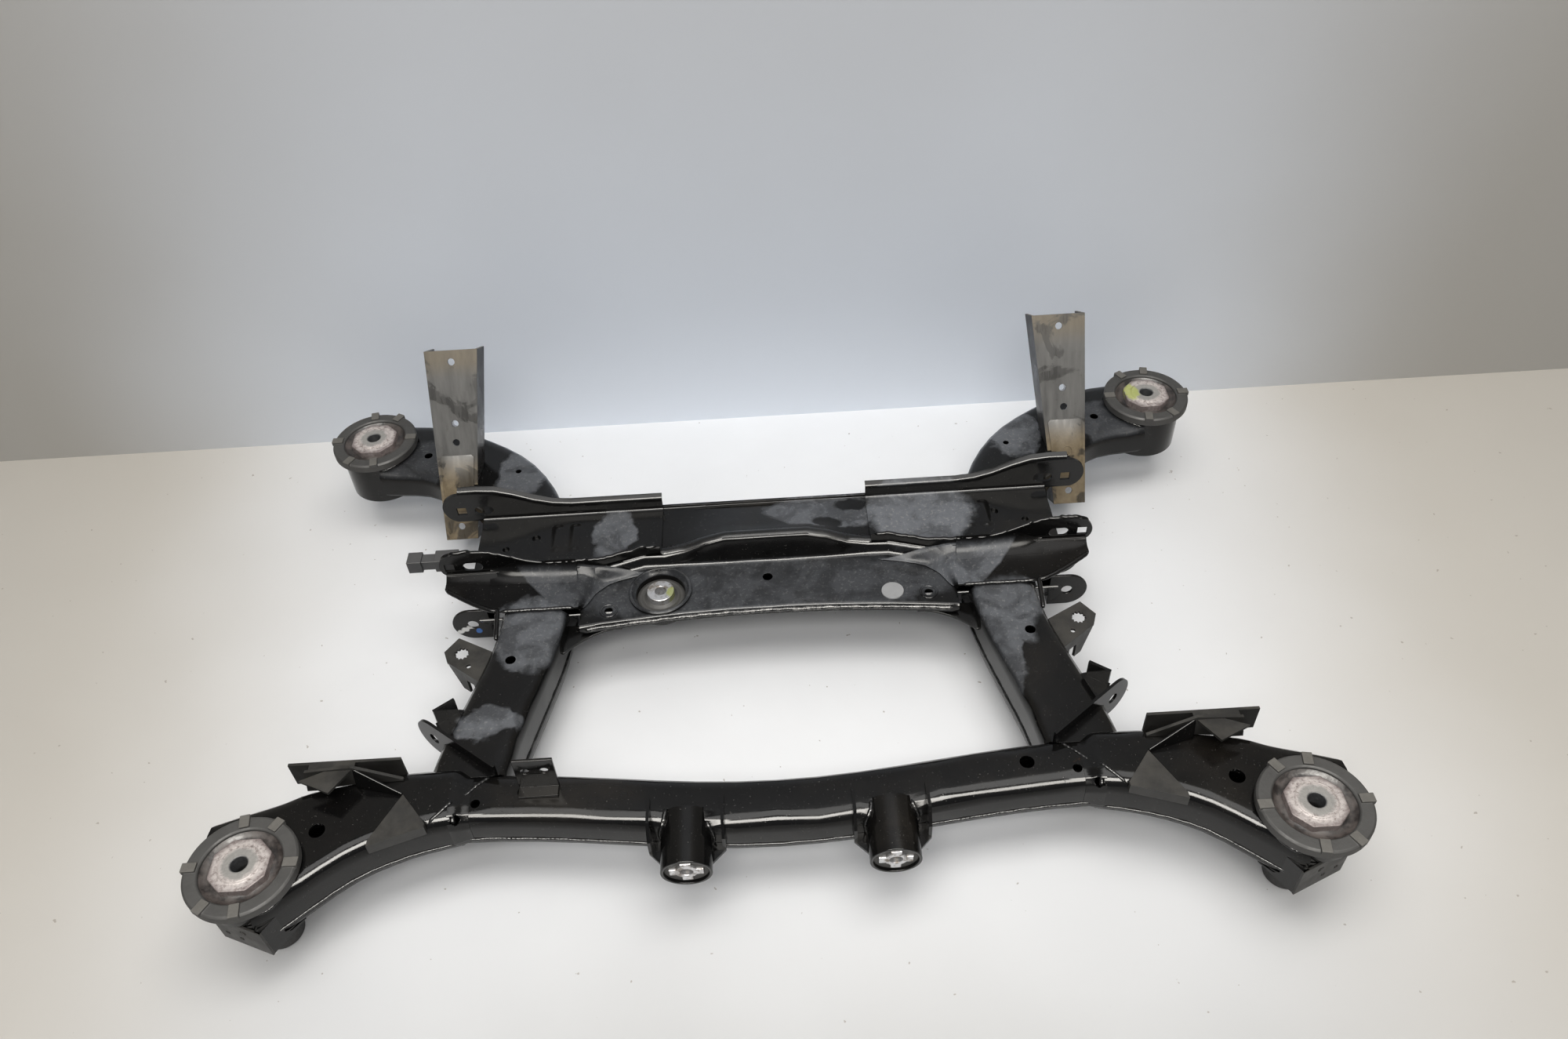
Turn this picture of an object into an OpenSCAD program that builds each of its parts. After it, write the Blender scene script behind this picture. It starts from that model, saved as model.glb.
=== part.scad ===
// Rear axle subframe: welded pressings, four body bushings and three differential bushes.
// Millimetres, +X to the right, +Y to the rear, +Z up, floor at Z = 0.

/* [Body mounts] */
// Distance between the two front bushing centres
front_pitch = 962; // [900:1:1040]
// Distance between the two rear bushing centres
rear_pitch = 964; // [900:1:1040]
// Distance from the front bushings to the rear bushings
mount_span = 590; // [560:1:640]
// Height of the bushing rings above the floor
ring_top = 120; // [116:1:140]
// Outer diameter of a bushing ring
ring_d = 102; // [98:1:112]
// Overhang of a bushing ring beyond its collar or cup
ring_lap = 8; // [6:0.5:9]
// Height of a bushing ring
ring_h = 10; // [7:0.5:13]
// Width of the rubber trough between ring and core
trough_w = 11; // [8:0.5:12]
// Depth of the rubber trough
trough_depth = 13; // [6:1:20]
// Width of a core head across its flats
core_w = 52; // [46:1:56]
// Height of a core head above the rings
core_rise = 3; // [1:0.5:6]
// Thickness of a core head
core_head_h = 12; // [8:1:16]
// Diameter of the shank below a core head
core_shank_d = 40; // [34:1:44]
// Diameter of the body bolt hole
body_bolt_d = 15; // [12:0.5:18]
// Width of a rib across a ring
rib_w = 9; // [6:0.5:12]
// Height of a rib above its ring
rib_h = 2.4; // [0.8:0.2:3]
// Turn from a ring's outer rib to the next one
rib_lead = 80; // [70:1:90]
// Turn between the two ribs of a pair
rib_pair = 40; // [30:1:50]
// Height of a rear bushing cup
cup_h = 56; // [46:1:62]
// Height of a front bushing collar
collar_h = 20; // [14:1:26]
// Diameter of a front bushing below its collar
front_body_d = 66; // [60:1:72]

/* [Sheet metal] */
// Sheet thickness of the box sections
sheet = 2.5; // [2:0.1:3.5]
// Sheet thickness of the brackets
plate = 3; // [2.5:0.1:4]
// Gap left for a weld between two pressings
weld_gap = 0.3; // [0.2:0.05:0.6]
// Clearance between two nested half shells
shell_fit = 0.2; // [0.1:0.05:0.4]
// Overlap of an upper half shell over the lower one
shell_lap = 8; // [5:1:12]
// Rounding of the box section edges
edge_round = 17; // [12:1:20]

/* [Front cross tube] */
// Half the length of the front tube
tube_half = 305; // [280:1:330]
// Distance of the tube ends behind the front bushings
tube_back = 72; // [60:1:85]
// Forward bow of the tube at its middle
tube_bow = 24; // [10:1:35]
// Depth of the tube section
tube_w = 54; // [48:1:60]
// Height of the tube section
tube_h = 52; // [46:1:58]
// Drop of the tube top below the bushing rings
tube_drop = 18; // [16:1:26]

/* [Front arms] */
// Width of an arm where it meets the tube
arm_in_w = 62; // [58:1:70]
// Width of an arm at its bushing
arm_out_w = 126; // [118:1:134]
// Height of an arm
arm_h = 56; // [50:1:62]
// Drop of the arm top below the bushing rings
arm_drop = 12; // [11:0.5:16]
// Diameter of the locating hole in an arm
arm_hole_d = 15; // [10:0.5:20]
// Land between the locating hole and the bushing collar
arm_hole_land = 17.5; // [14:0.5:20]
// Distance of an arm's middle behind its bushing
arm_tail = 6; // [2:1:10]
// Open front of an arm, measured inboard of its bushing
arm_mouth_x = 16; // [8:1:24]
// Open front of an arm, measured behind its bushing
arm_mouth_y = 10; // [4:1:16]

/* [Side rails] */
// Distance of a rail's front end inboard of the tube's end
rail_inset = 5; // [0:1:12]
// Distance of a rail from the middle at the rear
rail_rear_x = 254; // [250:1:262]
// Width of a rail at its waist
rail_w = 72; // [66:1:74]
// Widening of a rail at its ends
rail_flare = 6; // [2:1:8]
// Height of a rail
rail_h = 74; // [66:1:78]
// Drop of the rail top below the bushing rings
rail_drop = 20; // [18:1:24]
// Diameter of the hole in a rail top
rail_hole_d = 11; // [8:0.5:16]

/* [Cross-member] */
// Half the length of the cross-member
cross_half = 318; // [305:1:330]
// Half the width of the differential shelf
shelf_half = 206; // [198:1:212]
// Distance of the shelf front edge behind the middle of the mounts
shelf_y = 2; // [-6:1:6]
// Depth of the shelf from front to back
shelf_d = 55; // [50:1:60]
// Drop of the shelf below the bushing rings
shelf_drop = 28; // [26:1:32]
// Height of the lip along the shelf front edge
shelf_lip = 11; // [8:1:14]
// Forward sweep of the shelf front edge at its ends
shelf_sweep = 14; // [6:1:18]
// Drop of the rear panel below the bushing rings
panel_drop = 15; // [13:0.5:20]
// Depth of the rear panel from front to back
panel_d = 90; // [84:1:98]
// Height of the rim along the panel's rear edge
panel_rim = 4; // [3:1:14]
// Rise of the hump over the differential
hump_rise = 20; // [10:1:26]
// Set-back of the panel's front edge over its middle
panel_back = 15; // [10:1:18]
// Half the width of the hump
hump_half = 112; // [90:1:130]
// Distance of the pan's front edge behind the shelf edge
pan_inset = 8; // [5:1:12]
// Forward slope of the pan's rear wall
pan_taper = 14; // [8:1:20]
// Rearward slope of the pan's front wall
pan_slope = 66; // [50:1:76]

/* [Link brackets] */
// Reach of the wing tips from the middle
wing_reach = 371; // [350:1:376]
// Distance of a front wing's tip inboard of the rear one's
wing_short = 10; // [4:1:12]
// Inboard end of a link bracket, from the middle
bracket_in_x = 118; // [110:1:140]
// Height of the front wing over the panel
wing_front_h = 36; // [32:1:42]
// Height of the rear wing over the panel
wing_rear_h = 43; // [38:1:48]
// Height of a wing's inboard rim
wing_rim_h = 13; // [8:1:18]
// Distance of the adjusting slots inboard of the wing tips
slot_inset = 47; // [42:1:52]
// Height of the adjusting slots above the panel's brackets
slot_rise = 14; // [11:0.5:17]
// Length of the slope from a wing's rim up to its full height
wing_slope_l = 84; // [76:1:92]
// Height of an adjusting slot
slot_h = 12.2; // [10:0.2:15]
// Length of an adjusting slot
slot_l = 22; // [18:1:26]
// Side of the square guide holes
guide_side = 11; // [8:0.5:14]
// Distance of the guide holes outboard of the slots
guide_step = 26; // [22:1:29]

/* [Lower link ears] */
// Reach of the lower ears beyond the cross-member
ear_out = 44; // [40:1:52]
// Distance of the lower ears behind the shelf edge
ear_back = 42; // [38:1:46]
// Gap between the two lower ears
ear_gap = 44; // [38:1:50]
// Height of a lower ear
ear_h = 46; // [38:1:52]
// Drop of the lower link bolts below the bushing rings
ear_drop = 76; // [66:1:80]
// Diameter of the lower link bolt hole
ear_bolt_d = 12.2; // [10:0.2:14.2]

/* [Rear arms] */
// Width of a rear arm
rear_arm_w = 96; // [90:1:102]
// Height of a rear arm
rear_arm_h = 43; // [38:1:48]
// Drop of the rear arm top below the bushing rings
rear_arm_drop = 15; // [13:1:20]
// Distance of a rear arm from the middle at its root
rear_root_x = 284; // [276:1:292]

/* [Posts] */
// Distance of a post's outer edge from the middle
post_x = 390; // [384:1:396]
// Distance of a post's foot behind the rear panel
post_gap = 28; // [22:1:34]
// Length of a post
post_l = 229; // [200:1:250]
// Rearward lean of a post from upright
post_lean = 30.7; // [26:0.1:34]
// Width of a post at its top
post_top_w = 63; // [56:1:72]
// Width of a post at its foot
post_foot_w = 38; // [32:1:44]
// Depth of a post's flanges
post_flange = 36; // [28:1:42]
// Drop of a post's foot below the bushing rings
post_drop = 72; // [66:1:78]
// Diameter of a post's bolt holes
post_hole_d = 8.4; // [6:0.2:11]

/* [Differential bushes] */
// Distance between the two front differential bushes
diff_pitch = 191; // [180:1:200]
// Shift of the front differential bushes to the right
diff_shift = 10; // [0:1:14]
// Outer diameter of a front differential bush sleeve
diff_sleeve_d = 48; // [44:1:52]
// Length of a front differential bush sleeve
diff_sleeve_l = 56; // [50:1:62]
// Wall of a front differential bush sleeve
diff_sleeve_t = 3; // [2.5:0.1:4]
// Downward tilt of the front differential bushes
diff_tilt = 5; // [0:0.5:9]
// Reach of the front differential bushes ahead of the tube
diff_reach = 32; // [27:1:36]
// Diameter of the differential bolt holes
diff_bolt_d = 12.5; // [10:0.5:14]
// Rear differential bush, distance to the left of the middle
rear_bush_x = 119; // [110:1:126]
// Rear differential bush, distance behind the shelf edge
rear_bush_y = 31.5; // [31:0.5:33]
// Outer diameter of the rear differential bush's sleeve
rear_bush_d = 60; // [54:1:62]
// Width of the dished lip round the rear differential bush
rear_bush_lip = 5; // [4:0.5:6]
// Height of the rear differential bush
rear_bush_h = 26; // [22:1:30]
// Diameter of the rear differential bush's core
rear_core_d = 30; // [26:1:34]

/* [Small brackets] */
// Length of the hood on an arm
hood_l = 94; // [86:1:100]
// Height of the hood above the arm
hood_rise = 26; // [20:1:32]
// Length of the bar behind the hood
hood_bar_l = 108; // [96:1:116]
// Height of the bar behind the hood
hood_bar_h = 30; // [24:1:36]
// Gap between the hood and its bar
hood_gap = 13; // [10:1:16]
// Length of a foot bracket's long leg
foot_leg = 54; // [46:1:58]
// Height of a foot bracket
foot_h = 38; // [30:1:42]
// Length of the cap plate on an arm
cap_l = 50; // [44:1:56]
// Reach of a hose bracket beside its rail
hose_reach = 52; // [44:1:58]
// Root diameter of a hose bracket's star hole
star_d = 13; // [11:0.5:16]
// Number of teeth round a star hole
star_teeth = 12; // [8:1:16]
// Length of a trailing link ear
trail_l = 112; // [104:1:118]
// Height of a trailing link ear
trail_h = 46; // [38:1:52]
// Diameter of the trailing link bolt hole
trail_bolt_d = 12.2; // [10:0.2:14.2]

/* [Hidden] */
$fn = 64;
bend_steps = 3;
span_steps = 3;
far = 900;

front_x = front_pitch / 2;
rear_x = rear_pitch / 2;
mount_y = mount_span / 2;
collar_r = ring_d / 2 - ring_lap;
seat_r = collar_r - plate;
core_hole_r = core_shank_d / 2;

tube_end_y = tube_back - mount_y;
tube_z = ring_top - tube_drop - tube_h / 2;
arm_top = ring_top - arm_drop;
rail_front_x = tube_half - rail_inset;
arm_seam = arm_top - arm_h * 0.58;
rail_top = ring_top - rail_drop;
rail_seam = rail_top - rail_h / 2;
shelf_z = ring_top - shelf_drop;
panel_z = ring_top - panel_drop;
panel_y = shelf_y + shelf_d + (shelf_drop - panel_drop) / 2;
panel_rear_y = panel_y + panel_d;
pan_top = shelf_z - plate * 1.7 - weld_gap;
pan_bottom = 0;
pan_front_y = shelf_y + pan_inset;
pan_lip_y = panel_rear_y - plate * 2 / 3;
pan_rear_y = pan_lip_y - pan_taper;
pan_lip_z = panel_z - plate * 1.2 - weld_gap;
bracket_z = panel_z + weld_gap + plate;
wing_front_y = panel_y - 1;
wing_rear_y = panel_rear_y - weld_gap - plate;
wing_mid_z = bracket_z + slot_rise;
slot_x = wing_reach - slot_inset;
rear_arm_top = ring_top - rear_arm_drop;
rear_arm_seam = rear_arm_top - rear_arm_h * 0.55;
post_foot_y = panel_rear_y + post_gap;
post_foot_z = ring_top - post_drop;
ear_tip_x = cross_half + ear_out;
ear_y = shelf_y + ear_back;
ear_z = ring_top - ear_drop;
diff_y = tube_end_y - tube_bow - tube_w / 2 - diff_reach;
diff_z = tube_z + 4;
rear_bush_at = [-rear_bush_x, shelf_y + rear_bush_y];

black = [0.07, 0.07, 0.08];
grey_black = [0.13, 0.13, 0.14];
rubber = [0.16, 0.16, 0.17];
alloy = [0.66, 0.62, 0.6];
steel = [0.75, 0.76, 0.78];
plastic = [0.18, 0.18, 0.2];

SIDES = [["left", -1], ["right", 1]];
CENTRE_NODES = [
    "front_tube_upper", "front_tube_lower", "cross_upper", "cross_pan", "diff_gussets",
    "rear_diff_sleeve", "rear_diff_rubber", "rear_diff_core", "shelf_plug",
    "small_bracket", "wiring_connector", "post_weld_nuts"
];
SIDE_NODES = [
    "front_arm_upper", "front_arm_lower", "front_collar", "front_bushing", "front_core",
    "side_rail_upper", "side_rail_lower", "link_bracket", "wing_scoop", "lower_ears",
    "rear_arm_upper", "rear_arm_lower", "rear_cup", "rear_bushing", "rear_core", "post",
    "diff_sleeve", "diff_rubber", "diff_core", "foot_bracket", "arm_bracket", "arm_gusset",
    "hose_bracket", "trailing_bracket"
];

// Vectors and smooth paths

function unit(v) = v / norm(v);
function mix(a, b, f) = a + (b - a) * f;
function smooth(f) = f * f * (3 - 2 * f);
function clamp01(f) = max(0, min(1, f));
function step_up(x, from, to) = smooth(clamp01((x - from) / (to - from)));

// A point between b and c on a smooth curve through a, b, c and d
function curve_point(a, b, c, d, t) =
    0.5 * (2 * b + (c - a) * t + (2 * a - 5 * b + 4 * c - d) * t * t
    + (3 * b - a - 3 * c + d) * t * t * t);

// Stations along a smooth curve through the given ones
function curve(stations) =
    let (last = len(stations) - 1)
    [
        for (i = [0 : last - 1])
            let (
                a = i == 0 ? 2 * stations[0] - stations[1] : stations[i - 1],
                d = i + 2 > last ? 2 * stations[last] - stations[last - 1] : stations[i + 2]
            )
            for (k = [0 : span_steps - 1]) curve_point(a, stations[i], stations[i + 1], d, k / span_steps),
        stations[last]
    ];

// A point on the arc from a to c that is drawn towards b
function arc_point(a, b, c, t) = (1 - t) * (1 - t) * a + 2 * t * (1 - t) * b + t * t * c;

// A path with each inner corner replaced by a bend
function bent(path, cut) =
    let (last = len(path) - 1)
    [
        path[0],
        for (i = [1 : last - 1])
            let (
                to_last = path[i - 1] - path[i],
                to_next = path[i + 1] - path[i],
                s = path[i] + unit(to_last) * min(cut, norm(to_last) * 0.45),
                e = path[i] + unit(to_next) * min(cut, norm(to_next) * 0.45)
            )
            for (k = [0 : bend_steps]) arc_point(s, path[i], e, k / bend_steps),
        path[last]
    ];

// The path moved to its right by a distance
function beside(path, distance) =
    let (last = len(path) - 1)
    [
        for (i = [0 : last])
            let (
                d1 = unit(path[max(i, 1)] - path[max(i, 1) - 1]),
                d2 = unit(path[min(i, last - 1) + 1] - path[min(i, last - 1)]),
                n1 = [d1.y, -d1.x],
                n2 = [d2.y, -d2.x]
            )
            path[i] + (n1 + n2) * distance / (1 + n1 * n2)
    ];

// Points of a flat profile stood upright at a station [x, y, z, turn]
function stand(profile, at) =
    [for (p = profile) [at[0] - p[0] * sin(at[3]), at[1] + p[0] * cos(at[3]), at[2] + p[1]]];

// A pressed sheet: one open profile per station, thickened to its right
module pressing(stations, profiles, thickness) {
    m = len(stations);
    n = len(profiles[0]);
    outer = [for (i = [0 : m - 1]) each stand(profiles[i], stations[i])];
    inner = [for (i = [0 : m - 1]) each stand(beside(profiles[i], thickness), stations[i])];
    half = m * n;
    last_i = m - 1;
    last_j = n - 1;
    polyhedron(
        points = concat(outer, inner),
        faces = [
            for (i = [0 : last_i - 1]) for (j = [0 : last_j - 1])
                let (a = i * n + j, b = a + 1, c = a + n, d = c + 1)
                each [
                    [a, b, d], [a, d, c],
                    [half + a, half + d, half + b], [half + a, half + c, half + d]
                ],
            for (i = [0 : last_i - 1])
                let (a = i * n, c = a + n, e = a + last_j, g = e + n)
                each [
                    [a, c, half + c], [a, half + c, half + a],
                    [e, half + g, g], [e, half + e, half + g]
                ],
            for (j = [0 : last_j - 1])
                let (a = j, b = j + 1, c = last_i * n + j, d = c + 1)
                each [
                    [a, half + a, half + b], [a, half + b, b],
                    [c, d, half + d], [c, half + d, half + c]
                ]
        ]
    );
}

// A solid skin through closed profiles, used to trim what is welded against a box section
module envelope(stations, profiles) {
    m = len(stations);
    n = len(profiles[0]);
    polyhedron(
        points = [for (i = [0 : m - 1]) each stand(profiles[i], stations[i])],
        faces = [
            for (i = [0 : m - 2]) for (j = [0 : n - 1])
                let (a = i * n + j, b = i * n + (j + 1) % n, c = a + n, d = b + n)
                each [[a, b, d], [a, d, c]],
            [for (j = [n - 1 : -1 : 0]) j],
            [for (j = [0 : n - 1]) (m - 1) * n + j]
        ]
    );
}

// Box sections made of an upper and a lower half shell
// A station is [x, y, seam height, turn, width, height above the seam, height below it]

function upper_profile(s) =
    bent([[-s[4] / 2, -shell_lap], [-s[4] / 2, s[5]], [s[4] / 2, s[5]], [s[4] / 2, -shell_lap]], edge_round);

function lower_half_w(s) = s[4] / 2 - sheet - shell_fit;

function lower_profile(s) =
    let (w = lower_half_w(s))
    bent([[w, 0], [w, -s[6]], [-w, -s[6]], [-w, 0]], edge_round);

function skin_profile(s) =
    let (w = s[4] / 2 + weld_gap, up = s[5] + weld_gap, down = s[6] + weld_gap)
    concat(
        bent([[-w, 0], [-w, up], [w, up], [w, 0]], edge_round),
        bent([[w, -1], [w, -down], [-w, -down], [-w, -1]], edge_round)
    );

module upper_shell(stations) {
    pressing(stations, [for (s = stations) upper_profile(s)], sheet);
}

module lower_shell(stations) {
    pressing(stations, [for (s = stations) lower_profile(s)], sheet);
}

module skin(stations) {
    envelope(stations, [for (s = stations) skin_profile(s)]);
}

// The stretch of a box section between two fractions of its stations
function stretch(stations, from, to) =
    let (last = len(stations) - 1)
    [for (i = [floor(last * from) : ceil(last * to)]) stations[i]];

// Small shared shapes

module sided(side) {
    if (side < 0) mirror([1, 0, 0]) children();
    else children();
}

module hole_down(x, y, d) {
    translate([x, y, -far / 2]) cylinder(d = d, h = far);
}

module hole_along_y(x, y, z, d, length) {
    translate([x, y, z]) rotate([-90, 0, 0]) cylinder(d = d, h = length);
}

// A tube standing on z = 0
module ring(outer_r, inner_r, height) {
    rotate_extrude() translate([inner_r, 0]) square([outer_r - inner_r, height]);
}

// Front cross tube

tube_stations = [
    for (k = [-8 : 8])
        let (f = k / 8)
        [
            f * (tube_half - weld_gap / 2), tube_end_y - tube_bow * (1 - pow(sin(90 * f), 2)),
            tube_z, 0, tube_w, tube_h / 2, tube_h / 2
        ]
];

module tube_holes() {
    for (s = [-1, 1]) for (h = [[0.78, 0, 14], [0.93, -10, 9], [0.985, -22, 7]])
        translate([s * h[0] * tube_half, tube_end_y + h[1], tube_z]) cylinder(d = h[2], h = tube_h);
}

module diff_places() {
    for (s = [-1, 1]) translate([diff_shift + s * diff_pitch / 2, diff_y, diff_z]) rotate([diff_tilt, 0, 0])
        children();
}

module diff_seats() {
    diff_places() rotate([-90, 0, 0]) translate([0, 0, -1])
        cylinder(d = diff_sleeve_d + 2 * weld_gap, h = diff_sleeve_l + weld_gap + 1);
}

module front_tube_upper() {
    color(black) difference() {
        upper_shell(tube_stations);
        tube_holes();
        diff_seats();
    }
}

module front_tube_lower() {
    color(black) difference() {
        lower_shell(tube_stations);
        diff_seats();
    }
}

// Each gusset is an upright fin on the tube with a flat web across to the sleeve
module diff_gussets() {
    fin_x = 14;
    front_y = tube_end_y - tube_bow - tube_w / 2;
    tube_top = tube_z + tube_h / 2;
    web_z = diff_z - 10;
    fin = [
        [front_y - 5, web_z], [front_y - 5, tube_top - 12], [front_y + 6, tube_top + 5],
        [front_y + tube_w * 0.62, tube_top + 4], [front_y + tube_w * 0.7, tube_z]
    ];
    web = [[0, front_y - diff_reach * 0.62], [fin_x, front_y - 5], [fin_x, front_y + 20], [0, front_y + 20]];
    color(black) difference() {
        for (s = [-1, 1]) for (e = [0, 1])
            translate([diff_shift + s * diff_pitch / 2, 0, 0]) mirror([e, 0, 0])
                translate([diff_sleeve_d / 2 - 2, 0, 0]) {
                    translate([fin_x - plate, 0, 0]) rotate([90, 0, 90]) linear_extrude(plate) polygon(fin);
                    translate([0, 0, web_z]) linear_extrude(plate) polygon(web);
                }
        skin(stretch(tube_stations, 0.25, 0.75));
        diff_seats();
    }
}

// Front arms

arm_x = [0, 0.25, 0.52, 0.78, 0.91, 1, 1.14, 1.26];
arm_sweep = [0, 0.08, 0.29, 0.64, 0.86, 0.93, 0.78, 0.63];
arm_spread = [0, 0.17, 0.4, 0.84, 1, 0.97, 0.42, -0.12];
arm_stations = curve([
    for (i = [0 : 7])
        [
            arm_x[i] > 1 ? front_x + (arm_x[i] - 1) * arm_out_w * 1.4
                : mix(tube_half + weld_gap / 2, front_x, arm_x[i]),
            mix(tube_end_y, arm_tail - mount_y, arm_sweep[i]),
            arm_seam, 0, mix(arm_in_w, arm_out_w, arm_spread[i]), arm_top - arm_seam,
            arm_seam - arm_top + arm_h
        ]
]);

// Front edge of an arm beside its bushing
arm_front_y = mix(tube_end_y, arm_tail - mount_y, arm_sweep[5])
    - mix(arm_in_w, arm_out_w, arm_spread[5]) / 2;

module collar_space() {
    translate([front_x, -mount_y, 0]) cylinder(r = collar_r + weld_gap, h = far);
    translate([front_x - arm_mouth_x, -mount_y - far, 0]) cube([far, far + arm_mouth_y, far]);
}

module front_arm_upper(side) {
    hole_turn = 145;
    hole_r = collar_r + arm_hole_land + arm_hole_d / 2;
    color(black) sided(side) difference() {
        upper_shell(arm_stations);
        collar_space();
        hole_down(front_x + hole_r * cos(hole_turn), hole_r * sin(hole_turn) - mount_y, arm_hole_d);
    }
}

module front_arm_lower(side) {
    color(black) sided(side) difference() {
        lower_shell(arm_stations);
        collar_space();
    }
}

// Body bushings

module front_collar(side) {
    color(black) sided(side) translate([front_x, -mount_y, ring_top - ring_h - collar_h])
        ring(collar_r, seat_r, collar_h);
}

// Rubber body with its ring, trough and ribs, hung from the ring top
module bushing(body_r, neck_h, body_h) {
    inner_r = core_w / 2 + trough_w;
    color(rubber) translate([0, 0, ring_top]) {
        rotate_extrude() polygon([
            [core_hole_r, -ring_h - trough_depth], [inner_r - 1.5, -ring_h - trough_depth], [inner_r, -1.5],
            [inner_r + 1.5, 0], [ring_d / 2 - 2, 0], [ring_d / 2, -2], [ring_d / 2, -ring_h],
            [seat_r, -ring_h], [seat_r, -ring_h - neck_h], [body_r, -ring_h - neck_h],
            [body_r, -body_h], [core_hole_r, -body_h]
        ]);
        for (half = [0, 180]) for (turn = [0, rib_lead, rib_lead + rib_pair]) rotate([0, 0, half + turn])
            translate([inner_r + 2, -rib_w / 2, -3]) cube([ring_d / 2 - inner_r - 1, rib_w, rib_h + 3]);
    }
}

// Aluminium core: a square head with cut corners, a raised washer face and a long shank
module core(foot) {
    corner = core_w * 0.27;
    head_z = ring_top + core_rise - core_head_h;
    washer_h = 1.5;
    color(alloy) difference() {
        union() {
            translate([0, 0, head_z]) linear_extrude(core_head_h - washer_h)
                polygon([
                    for (q = [0 : 3]) for (c = [[1, -1], [1, 1]])
                        let (a = core_w / 2, b = c[1] * (core_w / 2 - corner))
                        [a * cos(90 * q) - b * sin(90 * q), a * sin(90 * q) + b * cos(90 * q)]
                ]);
            translate([0, 0, foot]) cylinder(d = core_shank_d, h = head_z - foot);
            translate([0, 0, head_z]) cylinder(d = core_w * 0.72, h = core_head_h);
        }
        translate([0, 0, -1]) cylinder(d = body_bolt_d, h = ring_top + core_rise + 2);
    }
}

module front_bushing(side) {
    sided(side) translate([front_x, -mount_y, 0]) bushing(front_body_d / 2, collar_h, ring_h + collar_h + 32);
}

module front_core(side) {
    sided(side) translate([front_x, -mount_y, 0]) core(0);
}

module rear_bushing(side) {
    sided(side) translate([rear_x, mount_y, 0]) bushing(seat_r, cup_h, ring_h + cup_h);
}

module rear_core(side) {
    sided(side) translate([rear_x, mount_y, 0]) core(ring_top - ring_h - cup_h - 4);
}

// Side rails

arm_root = stretch(arm_stations, 0, 0.5);
tube_end = stretch(tube_stations, 0.7, 1);
rail_y0 = tube_end_y + tube_w * 0.185;
rail_y1 = pan_front_y + pan_slope;
rail_run = [0, 0.2, 0.4, 0.62, 0.82, 1];
rail_bend = [0, 0.2, 0.53, 0.86, 1, 1];
rail_belly = [1, 0.7, 0.2, 0, 0.4, 1];
rail_stations = curve([
    for (i = [0 : 5])
        [
            mix(rail_front_x, rail_rear_x, rail_bend[i]), mix(rail_y0, rail_y1, rail_run[i]),
            rail_seam, 90, rail_w + rail_flare * rail_belly[i], rail_h / 2, rail_h / 2
        ]
]);

// Space taken by the cross-member, seen along X
module cross_space() {
    rotate([90, 0, 90]) translate([0, 0, -far / 2]) linear_extrude(far)
        polygon([
            [pan_front_y - weld_gap, ring_top + far], [pan_front_y - weld_gap, pan_top],
            [pan_front_y + pan_slope - weld_gap, pan_bottom], [pan_rear_y + weld_gap, pan_bottom],
            [pan_lip_y + weld_gap, pan_lip_z], [panel_rear_y + plate + weld_gap, pan_lip_z],
            [panel_rear_y + plate + weld_gap, ring_top + far]
        ]);
}

module rail_trims() {
    skin(arm_root);
    skin(tube_end);
    cross_space();
}

module side_rail_upper(side) {
    color(black) sided(side) difference() {
        upper_shell(rail_stations);
        rail_trims();
        hole_down(mix(rail_front_x, rail_rear_x, 0.6), mix(rail_y0, rail_y1, 0.535), rail_hole_d);
    }
}

module side_rail_lower(side) {
    color(black) sided(side) difference() {
        lower_shell(rail_stations);
        rail_trims();
    }
}

// Cross-member

function hump(x) = 1 - step_up(abs(x), hump_half * 0.38, hump_half);
function set_back(x) = panel_back * (1 - step_up(abs(x), bracket_in_x + 12, shelf_half - 16));

function cross_profile(x) =
    let (
        front = shelf_y - shelf_sweep * pow(x / shelf_half, 2),
        h = hump(x),
        back = set_back(x)
    )
    bent([
        [front, shelf_z - shelf_lip], [front, shelf_z], [shelf_y + shelf_d + back, shelf_z],
        [panel_y + back, panel_z + hump_rise * h], [panel_y + back + 26, panel_z + hump_rise * 0.6 * h],
        [panel_rear_y, panel_z], [panel_rear_y, panel_z + panel_rim]
    ], 5);

module cross_upper() {
    edge = cross_half + 3;
    stations = [for (k = [-14 : 14]) [k / 14 * edge, 0, 0, 0]];
    color(black) difference() {
        pressing(stations, [for (s = stations) cross_profile(s[0])], plate);
        for (s = [0, 1]) mirror([s, 0, 0]) translate([shelf_half, panel_y - far, 0]) cube([far, far, far]);
        translate([rear_bush_at.x, rear_bush_at.y, 0]) cylinder(d = rear_bush_d + 2 * weld_gap, h = far);
        hole_down(0, shelf_y + 45, 11);
        for (s = [-1, 1]) hole_down(s * shelf_half * 0.85, shelf_y + 8, 9);
        hole_down(plug_at.x, plug_at.y, plug_d);
    }
}

module cross_pan() {
    profile = [
        [pan_front_y, pan_top], [pan_front_y + pan_slope, pan_bottom],
        [pan_rear_y, pan_bottom], [pan_lip_y, pan_lip_z]
    ];
    color(grey_black) difference() {
        rotate([90, 0, 90]) translate([0, 0, -cross_half]) linear_extrude(2 * cross_half)
            polygon(concat(profile, [for (i = [3 : -1 : 0]) beside(profile, -plate)[i]]));
        translate([rear_bush_at.x, rear_bush_at.y, 0]) cylinder(d = rear_bush_d + 2 * plate, h = far);
    }
}

plug_d = 20;
plug_at = [136, shelf_y + 12];

module shelf_plug() {
    color([0.55, 0.56, 0.57]) translate([plug_at.x, plug_at.y, shelf_z]) {
        cylinder(d = plug_d + 4, h = 1.5);
        translate([0, 0, -plate]) cylinder(d = plug_d - 2 * shell_fit, h = plate);
    }
}

// Link brackets with their wings

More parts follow.
